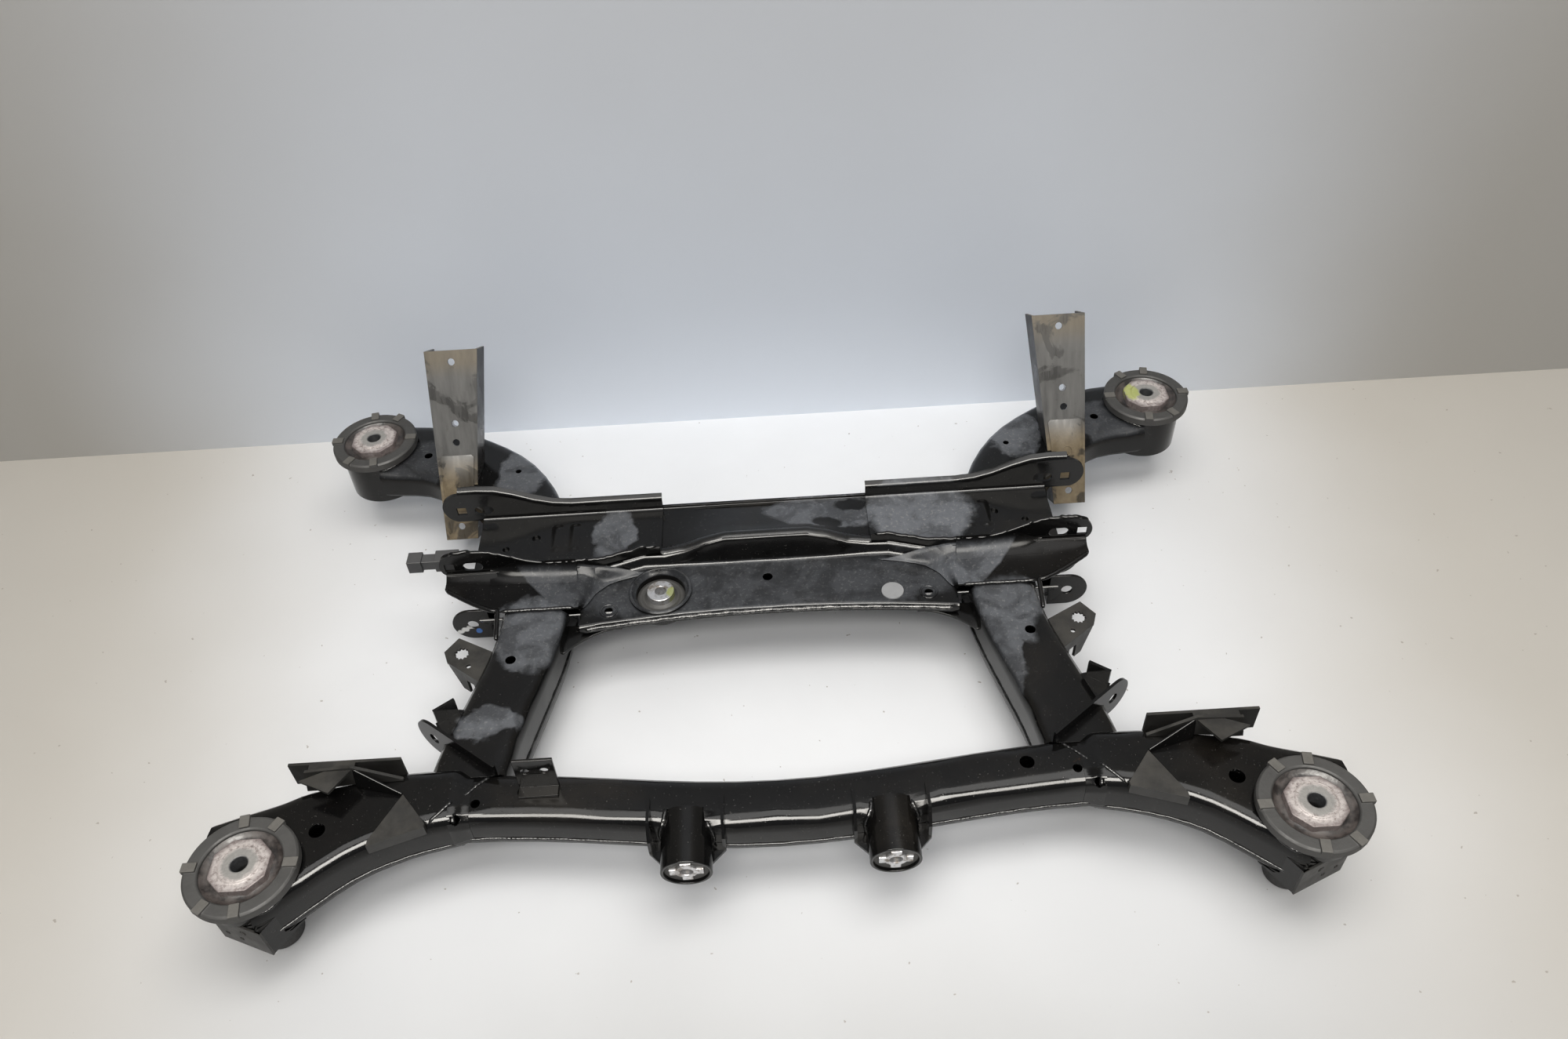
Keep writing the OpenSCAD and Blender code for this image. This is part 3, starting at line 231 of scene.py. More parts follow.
def black_paint(name, film_and_sheen_share, wet_rough=0.12, dusty=0.22, dabs=(), slant=0.0, gloss=0.27):
    """Glossy black paint: wet with oil in places, under a grey film and brown dust in others; the bluish
    grey film on upward faces is partly a painted reflection of the pale wall.
    """
    s = Shader(name)
    ragged = s.warped(34.0, 0.034)
    weighed = [
        s.math("MULTIPLY", s.zone(centre, radii, ragged, 0.12), weight)
        for centre, radii, weight in FILM_AND_SHEEN_ZONES
    ]
    # Painted reflection of the pale wall, with film, on the flatter side of a slanting line across the
    # scoops
    if slant:
        x, y, z = s.split(s.warped(60.0, 0.004))
        across = s.math("MULTIPLY", s.math("ABSOLUTE", x), SLANT_WAY[0])
        beyond = s.math("SUBTRACT", across, s.math("MULTIPLY", y, SLANT_WAY[1]))
        filmed = s.ramp(beyond, SLANT_AT + SLANT_EDGE, SLANT_AT - SLANT_EDGE)
        weighed.append(s.math("MULTIPLY", filmed, slant))
    zones = s.most(weighed)
    rubbed = s.most([
        s.zone(centre, radii, s.warped(90.0, 0.008), 0.2)
        for centre, radii in RUBBED_ZONES
    ])
    zones = s.math("MULTIPLY", zones, s.math("SUBTRACT", 1.0, rubbed))
    clouds = s.ramp(s.noise(24.0, 4.0, 0.6, 0.6), 0.34, 0.60)
    # The film on upward faces: dried oil and dust, and painted reflection of the pale wall
    film = s.math("MULTIPLY", zones, s.ramp(clouds, 0.0, 1.0, 0.5, 1.0))
    film = s.math("MULTIPLY", film, s.upward(0.25, 0.75))
    film = s.math("MULTIPLY", film, film_and_sheen_share, clamp=True)
    dust = s.math("MULTIPLY", s.ramp(s.noise(7.0, 5.0, 0.62), 0.48, 0.72), s.upward(0.1, 0.9))
    grit = s.ramp(s.noise(430.0, 2.0, 0.7), 0.67, 0.74)
    speckle = s.math("MULTIPLY", s.ramp(s.noise(280.0, 3.0, 0.7), 0.55, 0.66), film)
    rust = s.math("MULTIPLY", s.ramp(s.noise(34.0, 5.0, 0.7), 0.68, 0.76), 0.4)
    colour = s.blend(s.noise(60.0, 3.0), (0.0028, 0.0028, 0.0030), (0.0066, 0.0063, 0.0058))
    colour = s.blend(s.math("MULTIPLY", dust, dusty), colour, (0.042, 0.034, 0.025))
    colour = s.blend(rust, colour, (0.050, 0.026, 0.013))
    # Bluish grey of the film and its pale specks: dust colour and painted reflection of the pale wall
    mottle = s.blend(s.noise(110.0, 5.0, 0.7), (0.098, 0.103, 0.112), (0.205, 0.214, 0.230))
    colour = s.blend(s.math("MULTIPLY", film, 0.92), colour, mottle)
    colour = s.blend(s.math("MULTIPLY", speckle, 0.4), colour, (0.33, 0.325, 0.31))
    colour = s.blend(s.math("MULTIPLY", grit, 0.3), colour, (0.20, 0.19, 0.17))
    for centre, radii, tint in dabs:
        colour = s.blend(s.zone(centre, radii, s.warped(240.0, 0.003), 0.2), colour, tint)
    roughness = s.ramp(s.noise(26.0, 4.0, 0.6), 0.3, 0.7, wet_rough - 0.03, wet_rough + 0.06)
    roughness = s.math("ADD", roughness, s.math("MULTIPLY", dust, 0.08))
    roughness = s.math("ADD", roughness, s.math("MULTIPLY", film, 0.26))
    peel = s.bump(s.noise(520.0, 2.0), 0.05, 0.0006)
    waves = s.bump(s.noise(38.0, 2.0), 0.12, 0.0012, peel)
    specks = s.bump(grit, 0.2, 0.0004, waves)
    return s.surface(colour, roughness, 0.0, specks, Specular_IOR_Level=gloss)


def matte_black(name):
    """Dull black primer, grey-brown with dust."""
    s = Shader(name)
    dust = s.math("MULTIPLY", s.ramp(s.noise(30.0, 5.0, 0.65), 0.35, 0.68), s.upward(0.0, 0.8))
    colour = s.blend(s.noise(90.0, 4.0, 0.6), (0.011, 0.0105, 0.0095), (0.026, 0.0245, 0.0215))
    colour = s.blend(s.math("MULTIPLY", dust, 0.6), colour, (0.062, 0.057, 0.048))
    roughness = s.ramp(s.noise(40.0, 4.0, 0.6), 0.3, 0.7, 0.38, 0.56)
    grain = s.bump(s.noise(420.0, 3.0), 0.14, 0.0005)
    return s.surface(colour, roughness, 0.0, grain, Specular_IOR_Level=0.35)


def post_metal(side):
    """Phosphated steel of a post: grey streaks above, a painted golden reflection of warm light on the
    lower pad.
    """
    s = Shader(f"post_metal_{side}")
    low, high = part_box(f"post_{side}")
    height = s.split(s.warped(30.0, 0.012))[2]
    span = high.z - low.z
    # Painted golden reflection of warm light on the lower part of the post
    painted_warm_reflection = s.ramp(height, low.z + 0.52 * span, low.z + 0.36 * span)
    streak_at = s.vector("MULTIPLY", s.position, (1.0, 0.16, 0.16))
    streaks = s.noise(120.0, 4.0, 0.6, at=streak_at)
    oil = s.ramp(s.noise(21.0, 4.0, 0.6, 0.8), 0.54, 0.60)
    grey = s.blend(streaks, (0.045, 0.044, 0.042), (0.140, 0.137, 0.130))
    warm_reflection_colour = s.blend(s.noise(150.0, 4.0, 0.65), (0.090, 0.066, 0.038), (0.270, 0.212, 0.128))
    brown = s.math("MULTIPLY", s.ramp(height, low.z + 0.84 * span, low.z + 0.97 * span), 0.75)
    grey = s.blend(brown, grey, s.blend(streaks, (0.050, 0.038, 0.022), (0.210, 0.168, 0.105)))
    colour = s.blend(painted_warm_reflection, grey, warm_reflection_colour)
    colour = s.blend(s.math("MULTIPLY", oil, 0.72), colour, (0.030, 0.029, 0.027))
    edge_dust = s.ramp(s.noise(60.0, 5.0, 0.7), 0.6, 0.72)
    colour = s.blend(s.math("MULTIPLY", edge_dust, 0.4), colour, (0.045, 0.036, 0.026))
    # Painted shade: faces that do not look upward are darkened
    colour = s.blend(s.upward(0.35, 0.05), colour, (0.024, 0.022, 0.020))
    roughness = s.ramp(streaks, 0.3, 0.7, 0.30, 0.46)
    roughness = s.math("SUBTRACT", roughness, s.math("MULTIPLY", oil, 0.08))
    normal = s.bump(s.noise(210.0, 3.0), 0.12, 0.0006)
    return s.surface(colour, roughness, 0.05, normal, Specular_IOR_Level=0.2)


def rubber(name):
    """Dusty grey rubber, with the raised ribs worn lighter."""
    s = Shader(name)
    height = s.split(s.position)[2]
    worn = s.ramp(height, RING_TOP - 0.0014, RING_TOP - 0.0004)
    colour = s.blend(s.noise(70.0, 4.0, 0.6), (0.018, 0.0172, 0.016), (0.046, 0.0435, 0.040))
    top = s.upward(0.5, 0.9)
    dusty = s.math("MULTIPLY", top, s.ramp(s.noise(45.0, 4.0, 0.6), 0.25, 0.60, 0.35, 1.0))
    colour = s.blend(s.math("MULTIPLY", dusty, 0.75), colour, (0.046, 0.0445, 0.041))
    rib = s.blend(s.noise(160.0, 3.0), (0.072, 0.067, 0.058), (0.140, 0.131, 0.113))
    colour = s.blend(worn, colour, rib)
    grain = s.bump(s.noise(300.0, 3.0), 0.3, 0.0008)
    roughness = s.ramp(s.noise(50.0), 0.3, 0.7, 0.55, 0.75)
    return s.surface(colour, roughness, 0.0, grain)


def grimy_rubber(name):
    """Brown, oily rubber in the trough between ring and core."""
    s = Shader(name)
    grime = s.ramp(s.noise(60.0, 5.0, 0.65), 0.35, 0.68)
    colour = s.blend(grime, (0.016, 0.0135, 0.0125), (0.085, 0.068, 0.060))
    roughness = s.ramp(grime, 0.0, 1.0, 0.36, 0.62)
    return s.surface(colour, roughness, 0.0, s.bump(s.noise(190.0, 4.0), 0.35, 0.0012))


def cast_core(name, centre, dab=None):
    """Corroded aluminium: a pale pitted crust round a darker washer face, with an optional paint dab."""
    s = Shader(name)
    flat = s.vector("MULTIPLY", s.vector("SUBTRACT", s.position, (centre.x, centre.y, 0)), (1, 1, 0))
    radius = s.vector("LENGTH", flat, (0, 0, 0))
    pits = s.noise(240.0, 5.0, 0.7)
    crust = s.blend(s.ramp(pits, 0.30, 0.56), (0.19, 0.152, 0.139), (0.53, 0.478, 0.452))
    washer = s.blend(s.noise(190.0, 4.0, 0.65), (0.215, 0.206, 0.191), (0.36, 0.347, 0.322))
    wander = s.math("SUBTRACT", s.noise(130.0, 3.0), 0.5)
    wobble = s.math("ADD", radius, s.math("MULTIPLY", wander, 0.008))
    colour = s.blend(s.ramp(wobble, 0.0175, 0.0135), crust, washer)
    grime = s.ramp(wobble, 0.0215, 0.0275)
    colour = s.blend(s.math("MULTIPLY", grime, 0.75), colour, (0.12, 0.085, 0.08))
    colour = s.blend(s.ramp(radius, 0.0096, 0.0074), colour, (0.05, 0.052, 0.055))
    if dab:
        offset, radii, tint = dab
        middle = Vector((centre.x, centre.y, RING_TOP)) + Vector(offset)
        place = s.zone(middle, radii, s.warped(160.0, 0.01), 0.2)
        colour = s.blend(s.math("MULTIPLY", place, 0.8), colour, tint)
    # Painted shade: the core darkened below the ring's top, inside and under the rubber
    below = s.ramp(s.split(s.position)[2], RING_TOP - 0.012, RING_TOP - 0.016)
    colour = s.blend(below, colour, (0.022, 0.021, 0.020))
    normal = s.bump(pits, 0.55, 0.0016)
    return s.surface(colour, s.ramp(pits, 0.3, 0.7, 0.62, 0.45), 0.1, normal)


def bare_steel(name, dabs=()):
    """Bright steel with brown tarnish in its hollows."""
    s = Shader(name)
    tarnish = s.ramp(s.noise(110.0, 5.0, 0.7), 0.44, 0.64)
    colour = s.blend(tarnish, (0.56, 0.56, 0.57), (0.17, 0.15, 0.13))
    for centre, radii, tint in dabs:
        place = s.zone(centre, radii, s.warped(160.0, 0.006), 0.3)
        colour = s.blend(s.math("MULTIPLY", place, 0.7), colour, tint)
    roughness = s.ramp(tarnish, 0.0, 1.0, 0.32, 0.55)
    return s.surface(colour, roughness, 0.75, s.bump(s.noise(400.0, 3.0), 0.25, 0.0006))


def moulded(name, dark, light):
    """Moulded plastic with a fine grain and a little dust."""
    s = Shader(name)
    colour = s.blend(s.noise(140.0, 4.0, 0.6), dark, light)
    colour = s.blend(s.math("MULTIPLY", s.upward(0.4, 1.0), 0.25), colour, (0.16, 0.155, 0.145))
    roughness = s.ramp(s.noise(60.0), 0.3, 0.7, 0.42, 0.6)
    return s.surface(colour, roughness, 0.0, s.bump(s.noise(700.0), 0.15, 0.0004))


def bead_metal(name, rubbed_from, silver):
    """Weld metal under a wet coat of black paint, silvery where it is rubbed."""
    s = Shader(name)
    rubbed = s.ramp(s.noise(150.0, 4.0, 0.7), rubbed_from, rubbed_from + 0.14)
    colour = s.blend(rubbed, (0.007, 0.007, 0.007), silver)
    roughness = s.ramp(s.noise(80.0), 0.3, 0.7, 0.16, 0.34)
    grain = s.bump(s.noise(360.0, 3.0), 0.3, 0.0008)
    return s.surface(colour, roughness, 0.1, grain, Specular_IOR_Level=0.45)


def floor_paint():
    """Pale floor paint with faint stains and a few specks of dirt, painted darker towards the front and
    warmer and darker at the sides as a fall-off of the light.
    """
    s = Shader("floor_paint")
    stains = s.ramp(s.noise(1.6, 5.0, 0.6, 0.4), 0.30, 0.70)
    colour = s.blend(stains, (0.86, 0.865, 0.87), (0.92, 0.925, 0.93))
    x, y, z = s.split(s.warped(1.2, 0.3))
    # Painted shade: darker towards the front, and warmer and darker at the sides
    colour = s.blend(s.ramp(y, -0.20, -0.56), colour, (0.55, 0.547, 0.535))
    colour = s.blend(s.ramp(s.math("ABSOLUTE", x), 0.36, 0.85), colour, (0.60, 0.565, 0.505))
    specks = s.ramp(s.noise(95.0, 2.0, 0.6), 0.735, 0.75)
    colour = s.blend(s.math("MULTIPLY", specks, 0.6), colour, (0.30, 0.25, 0.20))
    roughness = s.ramp(s.noise(6.0, 4.0), 0.3, 0.7, 0.5, 0.62)
    return s.surface(colour, roughness, 0.0, s.bump(s.noise(14.0, 4.0), 0.06, 0.004))


def wall_paint():
    """Pale bluish wall, painted brighter low down as light thrown up from the floor, and darker above and
    at the sides as a fall-off of the light; clear from behind for the views from there.
    """
    s = Shader("wall_paint")
    x, y, z = s.split(s.warped(1.2, 0.3))
    # Painted light: brighter low down, darker above and at the sides
    colour = s.blend(s.ramp(z, 0.0, 0.75), (0.80, 0.85, 0.925), (0.57, 0.585, 0.61))
    colour = s.blend(s.ramp(s.math("ABSOLUTE", x), 0.35, 1.0), colour, (0.43, 0.415, 0.385))
    colour = s.blend(s.math("MULTIPLY", s.noise(2.4, 4.0, 0.6), 0.12), colour, (0.5, 0.5, 0.5))
    wall = s.nodes.new("ShaderNodeBsdfDiffuse")
    s.put(wall.inputs["Color"], colour)
    clear = s.nodes.new("ShaderNodeBsdfTransparent")
    mix = s.nodes.new("ShaderNodeMixShader")
    s.put(mix.inputs[0], s.geometry.outputs["Backfacing"])
    s.put(mix.inputs[1], wall.outputs[0])
    s.put(mix.inputs[2], clear.outputs[0])
    s.output(mix.outputs[0])
    return s.material


# Dressing of the CAD nodes

SHARP_ANGLE = math.radians(32)
BEND_ANGLE = math.radians(42)
SHEET_BEVEL = 0.0007
CORE_BEVEL = 0.0016
RUBBER_BEVEL = 0.0010
HUMP_BEVEL = 0.0030
WELD_DISTANCE = 0.00002
# Pressings whose bends are drawn in facets and shown smooth
SHELLS = (
    "front_tube", "front_arm_", "side_rail", "rear_arm", "link_bracket", "cross_upper", "wing_scoop",
)


def round_edges(piece, width, sharp):
    """A small round on every edge sharper than an angle."""
    edge = piece.modifiers.new("edge", "BEVEL")
    edge.width = width
    edge.segments = 2
    edge.limit_method = "ANGLE"
    edge.angle_limit = sharp


def dress(node, material, bevel, sharp):
    """Gives a CAD node its finish, smooth curves and small rounded edges."""
    piece = nodes[node]
    mesh = piece.data
    mesh.materials.clear()
    mesh.materials.append(material)
    for face in mesh.polygons:
        face.use_smooth = True
    if "custom_normal" in mesh.attributes:
        mesh.attributes.remove(mesh.attributes["custom_normal"])
    weld = piece.modifiers.new("weld", "WELD")
    weld.merge_threshold = WELD_DISTANCE
    round_edges(piece, bevel, sharp)
    normal = piece.modifiers.new("normal", "WEIGHTED_NORMAL")
    normal.keep_sharp = True
    normal.weight = 80


# How much film and painted reflection of the pale wall each scoop takes
SCOOP_FILM_AND_SHEEN = {"left": 0.45, "right": 0.8}
YELLOW = (0.42, 0.46, 0.10)
# Yellow dabs: on the rear right core, from its middle, and on the rear differential core, in place
CORE_DAB = ((-0.018, 0.004, 0.0), (0.008, 0.016, 0.02), YELLOW)
DIFF_DAB = (centre_of("rear_diff_core") + Vector((0.012, -0.003, 0.01)), (0.005, 0.008, 0.03), YELLOW)

paint = black_paint("black_paint", 0.8)
paint_film_and_sheen = black_paint("black_paint_film_and_sheen", 1.0, wet_rough=0.16)
paint_wet = black_paint("black_paint_wet", 0.0, wet_rough=0.16, dusty=0.1)
paint_under = black_paint("black_paint_under", 0.0, wet_rough=0.20, dusty=0.1, gloss=0.13)
paint_gleam = black_paint("black_paint_gleam", 0.0, wet_rough=0.26, dusty=0.05, gloss=0.5)
matte = matte_black("matte_black")
bead = bead_metal("weld_bead", 0.58, (0.075, 0.072, 0.068))
bead_silver = bead_metal("weld_bead_silver", 0.44, (0.115, 0.111, 0.105))
trough = grimy_rubber("trough_rubber")
rubber_grey = rubber("bushing_rubber")
steel = bare_steel("bare_steel")
FINISHES = {
    "wiring_connector": moulded("connector_plastic", (0.022, 0.022, 0.024), (0.040, 0.040, 0.042)),
    "shelf_plug": moulded("plug_plastic", (0.30, 0.305, 0.31), (0.42, 0.42, 0.42)),
    "post_weld_nuts": steel,
    "rear_diff_core": bare_steel("bare_steel_marked", [DIFF_DAB]),
    "rear_diff_rubber": rubber_grey,
    "front_tube_lower": paint_under,
    "lower_ears_left": black_paint("black_paint_dabbed", 0.8, dabs=EAR_DABS),
}
for side in SIDES:
    FINISHES[f"post_{side}"] = post_metal(side)
    FINISHES[f"diff_core_{side}"] = steel
    FINISHES[f"diff_rubber_{side}"] = rubber_grey
    for end in ("front", "rear"):
        FINISHES[f"{end}_bushing_{side}"] = rubber_grey
        marked = (end, side) == ("rear", "right")
        core = f"{end}_core_{side}"
        FINISHES[core] = cast_core(core, centre_of(core), CORE_DAB if marked else None)
    for filmed in ("rear_arm_upper", "link_bracket", "side_rail_upper"):
        FINISHES[f"{filmed}_{side}"] = paint_film_and_sheen
    FINISHES[f"wing_scoop_{side}"] = black_paint(
        f"scoop_paint_{side}", 1.0, wet_rough=0.16, dusty=0.1, slant=SCOOP_FILM_AND_SHEEN[side], gloss=0.11
    )
    for shaded in ("front_arm_lower", "side_rail_lower", "rear_arm_lower"):
        FINISHES[f"{shaded}_{side}"] = paint_under
    for dull in ("arm_gusset", "arm_bracket", "hose_bracket"):
        FINISHES[f"{dull}_{side}"] = matte

for node in nodes:
    width = CORE_BEVEL if "_core_" in node else RUBBER_BEVEL if "bushing" in node else SHEET_BEVEL
    width = HUMP_BEVEL if node == "cross_upper" else width
    sharp = BEND_ANGLE if node.startswith(SHELLS) else SHARP_ANGLE
    dress(node, FINISHES.get(node, paint), width, sharp)


# Weld beads, laid on the solids by tracing rays

FAR = 0.6
DOWN = Vector((0, 0, -1))
BEAD_STEP = 0.0011
RIPPLE = 0.0042
BEAD_SIDES = 8
# Directions that no bead and no rim runs along
BEAD_UP = Vector((0.13, 0.21, 0.97))
RIM_UP = Vector((0.0, 0.3, 0.95))
# Radii of the beads
JOINT_BEAD = 0.0026
SLEEVE_BEAD = 0.0022
FOOT_BEAD = 0.0020
COLLAR_BEAD = 0.0018
SLANT_BEAD = 0.0016
SEAM_BEAD = 0.0014
# Places of the beads: heights over a pressing's lower edge, and reaches from the middle plane
SEAM_UP = 0.0008
SCOOP_FOOT_UP = 0.0026
SHELF_EDGE_HALF = 0.2
SHELF_EDGE_DOWN = 0.005
ARM_SEAM_END = 0.455
SCOOP_FOOT_X = (0.212, 0.292)
COLLAR_GAP = 0.0016
SLEEVE_AXIS = (0, 1, 0.087)
SLANT_WELD = ((0.324, -0.2535), (0.274, -0.2020))


def trees(*names):
    """One search tree over the named CAD nodes."""
    points, faces = [], []
    for name in names:
        start = len(points)
        mesh = nodes[name].data
        points += [v.co.copy() for v in mesh.vertices]
        faces += [[start + i for i in p.vertices] for p in mesh.polygons]
    return BVHTree.FromPolygons(points, faces)


def trace(tree, starts, way):
    """Where rays from the starts first meet the tree; a ray that misses leaves a gap."""
    way = Vector(way).normalized()
    return [tree.ray_cast(Vector(start), way)[0] for start in starts]


def runs(points, jump=0.02):
    """The traced points split where a ray missed or the surface jumps."""
    run = []
    for point in points:
        if point is None or (run and (point - run[-1]).length > jump):
            if len(run) > 3:
                yield run
            run = []
        if point is not None:
            run.append(point)
    if len(run) > 3:
        yield run


def spaced(points, step):
    """The path sampled again at even steps."""
    out = [points[0]]
    left = step
    for a, b in zip(points, points[1:]):
        length = (b - a).length
        while length > 1e-9 and left <= length:
            out.append(a.lerp(b, left / length))
            left += step
        left -= length
    return out


def skin(bm, rings):
    """A closed skin over rings of vertices, one after another."""
    count = len(rings[0])
    for a, b in zip(rings, rings[1:]):
        for i in range(count):
            j = (i + 1) % count
            bm.faces.new((a[i], a[j], b[j], b[i]))
    bm.faces.new(list(reversed(rings[0])))
    bm.faces.new(rings[-1])


def lay_bead(bm, points, radius):
    """One rippled bead along a path."""
    path = spaced(points, BEAD_STEP)
    if len(path) < 4:
        return
    rings = []
    for i, at in enumerate(path):
        ahead = path[min(i + 1, len(path) - 1)] - path[max(i - 1, 0)]
        along = ahead.normalized()
        side = along.cross(BEAD_UP).normalized()
        up = side.cross(along)
        phase = (i * BEAD_STEP / RIPPLE) % 1.0
        swell = 0.82 + 0.26 * math.sqrt(max(0.0, 1.0 - (2 * phase - 1) ** 2))
        taper = min(1.0, (min(i, len(path) - 1 - i) + 1) / 4)
        wander = noise.noise_vector(at * 90.0) * radius * 0.35
        ring = []
        for k in range(BEAD_SIDES):
            turn = 2 * math.pi * k / BEAD_SIDES
            out = side * math.cos(turn) + up * math.sin(turn)
            ring.append(bm.verts.new(at + wander + out * radius * swell * taper))
        rings.append(ring)
    skin(bm, rings)


def make_piece(name, bm, material):
    """A new piece of the object, in place, with its finish."""
    bmesh.ops.recalc_face_normals(bm, faces=bm.faces)
    mesh = bpy.data.meshes.new(name)
    bm.to_mesh(mesh)
    bm.free()
    for face in mesh.polygons:
        face.use_smooth = True
    mesh.materials.append(material)
    piece = bpy.data.objects.new(name, mesh)
    bpy.context.scene.collection.objects.link(piece)
    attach(piece, "root")
    return piece


def weld_line(name, paths, radius, material=bead):
    """A piece made of the beads along several paths."""
    bm = bmesh.new()
    for path in paths:
        for run in runs(path):
            lay_bead(bm, run, radius)
    if bm.verts:
        make_piece(name, bm, material)
    else:
        bm.free()


def steps(a, b, count):
    """Evenly spaced values from a to b."""
    return [a + (b - a) * i / (count - 1) for i in range(count)]


cross_tree = trees("cross_upper")
tube_tree = trees("front_tube_upper", "front_tube_lower")

# Along the front edge of the differential shelf
shelf_z = cross_tree.ray_cast(Vector((0.03, 0.02, FAR)), DOWN)[0].z
edge_x = steps(-SHELF_EDGE_HALF, SHELF_EDGE_HALF, 160)
shelf_edge = trace(cross_tree, [(x, -FAR, shelf_z - SHELF_EDGE_DOWN) for x in edge_x], (0, 1, 0))
weld_line("weld_shelf_edge", [shelf_edge], JOINT_BEAD, bead_silver)


def belt(tree, x, first, last, count=60):
    """Points round the tube's box section at one x, from one angle to another."""
    points = []
    for turn in steps(math.radians(first), math.radians(last), count):
        way = Vector((0, math.cos(turn), math.sin(turn)))
        start = Vector((x, SECTION_Y, SECTION_Z)) + way * 0.2
        points.append(tree.ray_cast(start, -way)[0])
    return points


def round_pipe(tree, centre, axis, radius, count=72):
    """Where a pipe's outside meets the tree, looking along its axis."""
    axis = Vector(axis).normalized()
    across = axis.cross(Vector((0, 0, 1)) if abs(axis.z) < 0.9 else Vector((1, 0, 0))).normalized()
    up = across.cross(axis)
    starts = []
    for turn in steps(0.0, 2 * math.pi, count):
        out = across * math.cos(turn) + up * math.sin(turn)
        starts.append(Vector(centre) + out * radius - axis * 0.2)
    return trace(tree, starts, axis)


def pipe_radius(node):
    """Half of a round node's width."""
    low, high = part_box(node)
    return (high.x - low.x) / 2


def reach_of(node):
    """How near to the middle plane a node begins, and how far out it goes."""
    low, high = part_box(node)
    return sorted((abs(low.x), abs(high.x)))


for side, k in SIDES.items():
    # Tube to arm, and tube to differential sleeve
    arm = trees(f"front_arm_upper_{side}", f"front_arm_lower_{side}")
    joint = belt(tube_tree, k * (TUBE_HALF - 0.001), -150, 150)
    weld_line(f"weld_tube_end_{side}", [joint], JOINT_BEAD)
    sleeve = f"diff_sleeve_{side}"
    ring = round_pipe(tube_tree, centre_of(sleeve), SLEEVE_AXIS, pipe_radius(sleeve) + 0.001)
    weld_line(f"weld_diff_sleeve_{side}", [ring], SLEEVE_BEAD)

    # Collar and cup on the arms
    around = pipe_radius(f"front_collar_{side}") + COLLAR_GAP
    collar = round_pipe(arm, centre_of(f"front_collar_{side}"), DOWN, around)
    weld_line(f"weld_collar_{side}", [collar], COLLAR_BEAD)
    cup = round_pipe(trees(f"rear_arm_upper_{side}"), centre_of(f"rear_cup_{side}"), DOWN, around)
    weld_line(f"weld_cup_{side}", [cup], COLLAR_BEAD)

    # Lap seams along the arms and rails
    arm_upper = trees(f"front_arm_upper_{side}")
    seam_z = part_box(f"front_arm_upper_{side}")[0].z + SEAM_UP
    arm_x = steps(k * (TUBE_HALF + 0.004), k * ARM_SEAM_END, 90)
    arm_front = trace(arm_upper, [(x, -FAR, seam_z) for x in arm_x], (0, 1, 0))
    arm_back = trace(arm_upper, [(x, FAR, seam_z) for x in arm_x], (0, -1, 0))
    weld_line(f"weld_arm_seam_{side}", [arm_front, arm_back], SEAM_BEAD)
    rail = trees(f"side_rail_upper_{side}")
    rail_low, rail_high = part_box(f"side_rail_upper_{side}")
    seam_z = rail_low.z + SEAM_UP
    rail_y = steps(rail_low.y + 0.02, rail_high.y - 0.004, 90)
    rail_in = trace(rail, [(0, y, seam_z) for y in rail_y], (k, 0, 0))
    rail_out = trace(rail, [(k * FAR, y, seam_z) for y in rail_y], (-k, 0, 0))
    weld_line(f"weld_rail_seam_{side}", [rail_in, rail_out], SEAM_BEAD)

    # Scoop foot across the rail top
    scoop = trees(f"wing_scoop_{side}")
    foot_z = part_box(f"wing_scoop_{side}")[0].z + SCOOP_FOOT_UP
    foot_x = steps(k * SCOOP_FOOT_X[0], k * SCOOP_FOOT_X[1], 40)
    foot = trace(scoop, [(x, -FAR, foot_z) for x in foot_x], (0, 1, 0))
    weld_line(f"weld_scoop_foot_{side}", [foot], FOOT_BEAD)

# Lap seam along the tube
tube_x = steps(-TUBE_HALF + 0.004, TUBE_HALF - 0.004, 160)
tube_upper = trees("front_tube_upper")
tube_front = trace(tube_upper, [(x, -FAR, tube_low.z + SEAM_UP) for x in tube_x], (0, 1, 0))
tube_back = trace(tube_upper, [(x, 0.0, tube_low.z + SEAM_UP) for x in tube_x], (0, -1, 0))
weld_line("weld_tube_seam", [tube_front, tube_back], SEAM_BEAD)


# Helpers for the small forms on the pressings

def solid_piece(name, bm, material, thickness=0.0, bevel=0.0006):
    """A piece of sheet or plate with rounded edges."""
    piece = make_piece(name, bm, material)
    if thickness:
        sheet = piece.modifiers.new("sheet", "SOLIDIFY")
        sheet.thickness = thickness
        sheet.offset = -1.0
    round_edges(piece, bevel, SHARP_ANGLE)


def join_rows(bm, rows, wanted=all):
    """Faces between rows of vertices, wherever the four corners are wanted."""
    for a, b in zip(rows, rows[1:]):
        for i in range(len(a) - 1):
            corners = (a[i], a[i + 1], b[i + 1], b[i])
            if wanted(corners):
                bm.faces.new(corners)


def grid(bm, rows):
    """A sheet of faces through rows of points."""
    join_rows(bm, [[bm.verts.new(p) for p in row] for row in rows])


def prism(bm, outline, depth, frame_at):
    """A flat plate: an outline drawn in a frame, with a thickness along the frame's Z."""
    low = [bm.verts.new(frame_at @ Vector((x, y, 0.0))) for x, y in outline]
    high = [bm.verts.new(frame_at @ Vector((x, y, depth))) for x, y in outline]
    bm.faces.new(low)
    bm.faces.new(high)
    for i in range(len(outline)):
        j = (i + 1) % len(outline)
        bm.faces.new((low[i], low[j], high[j], high[i]))


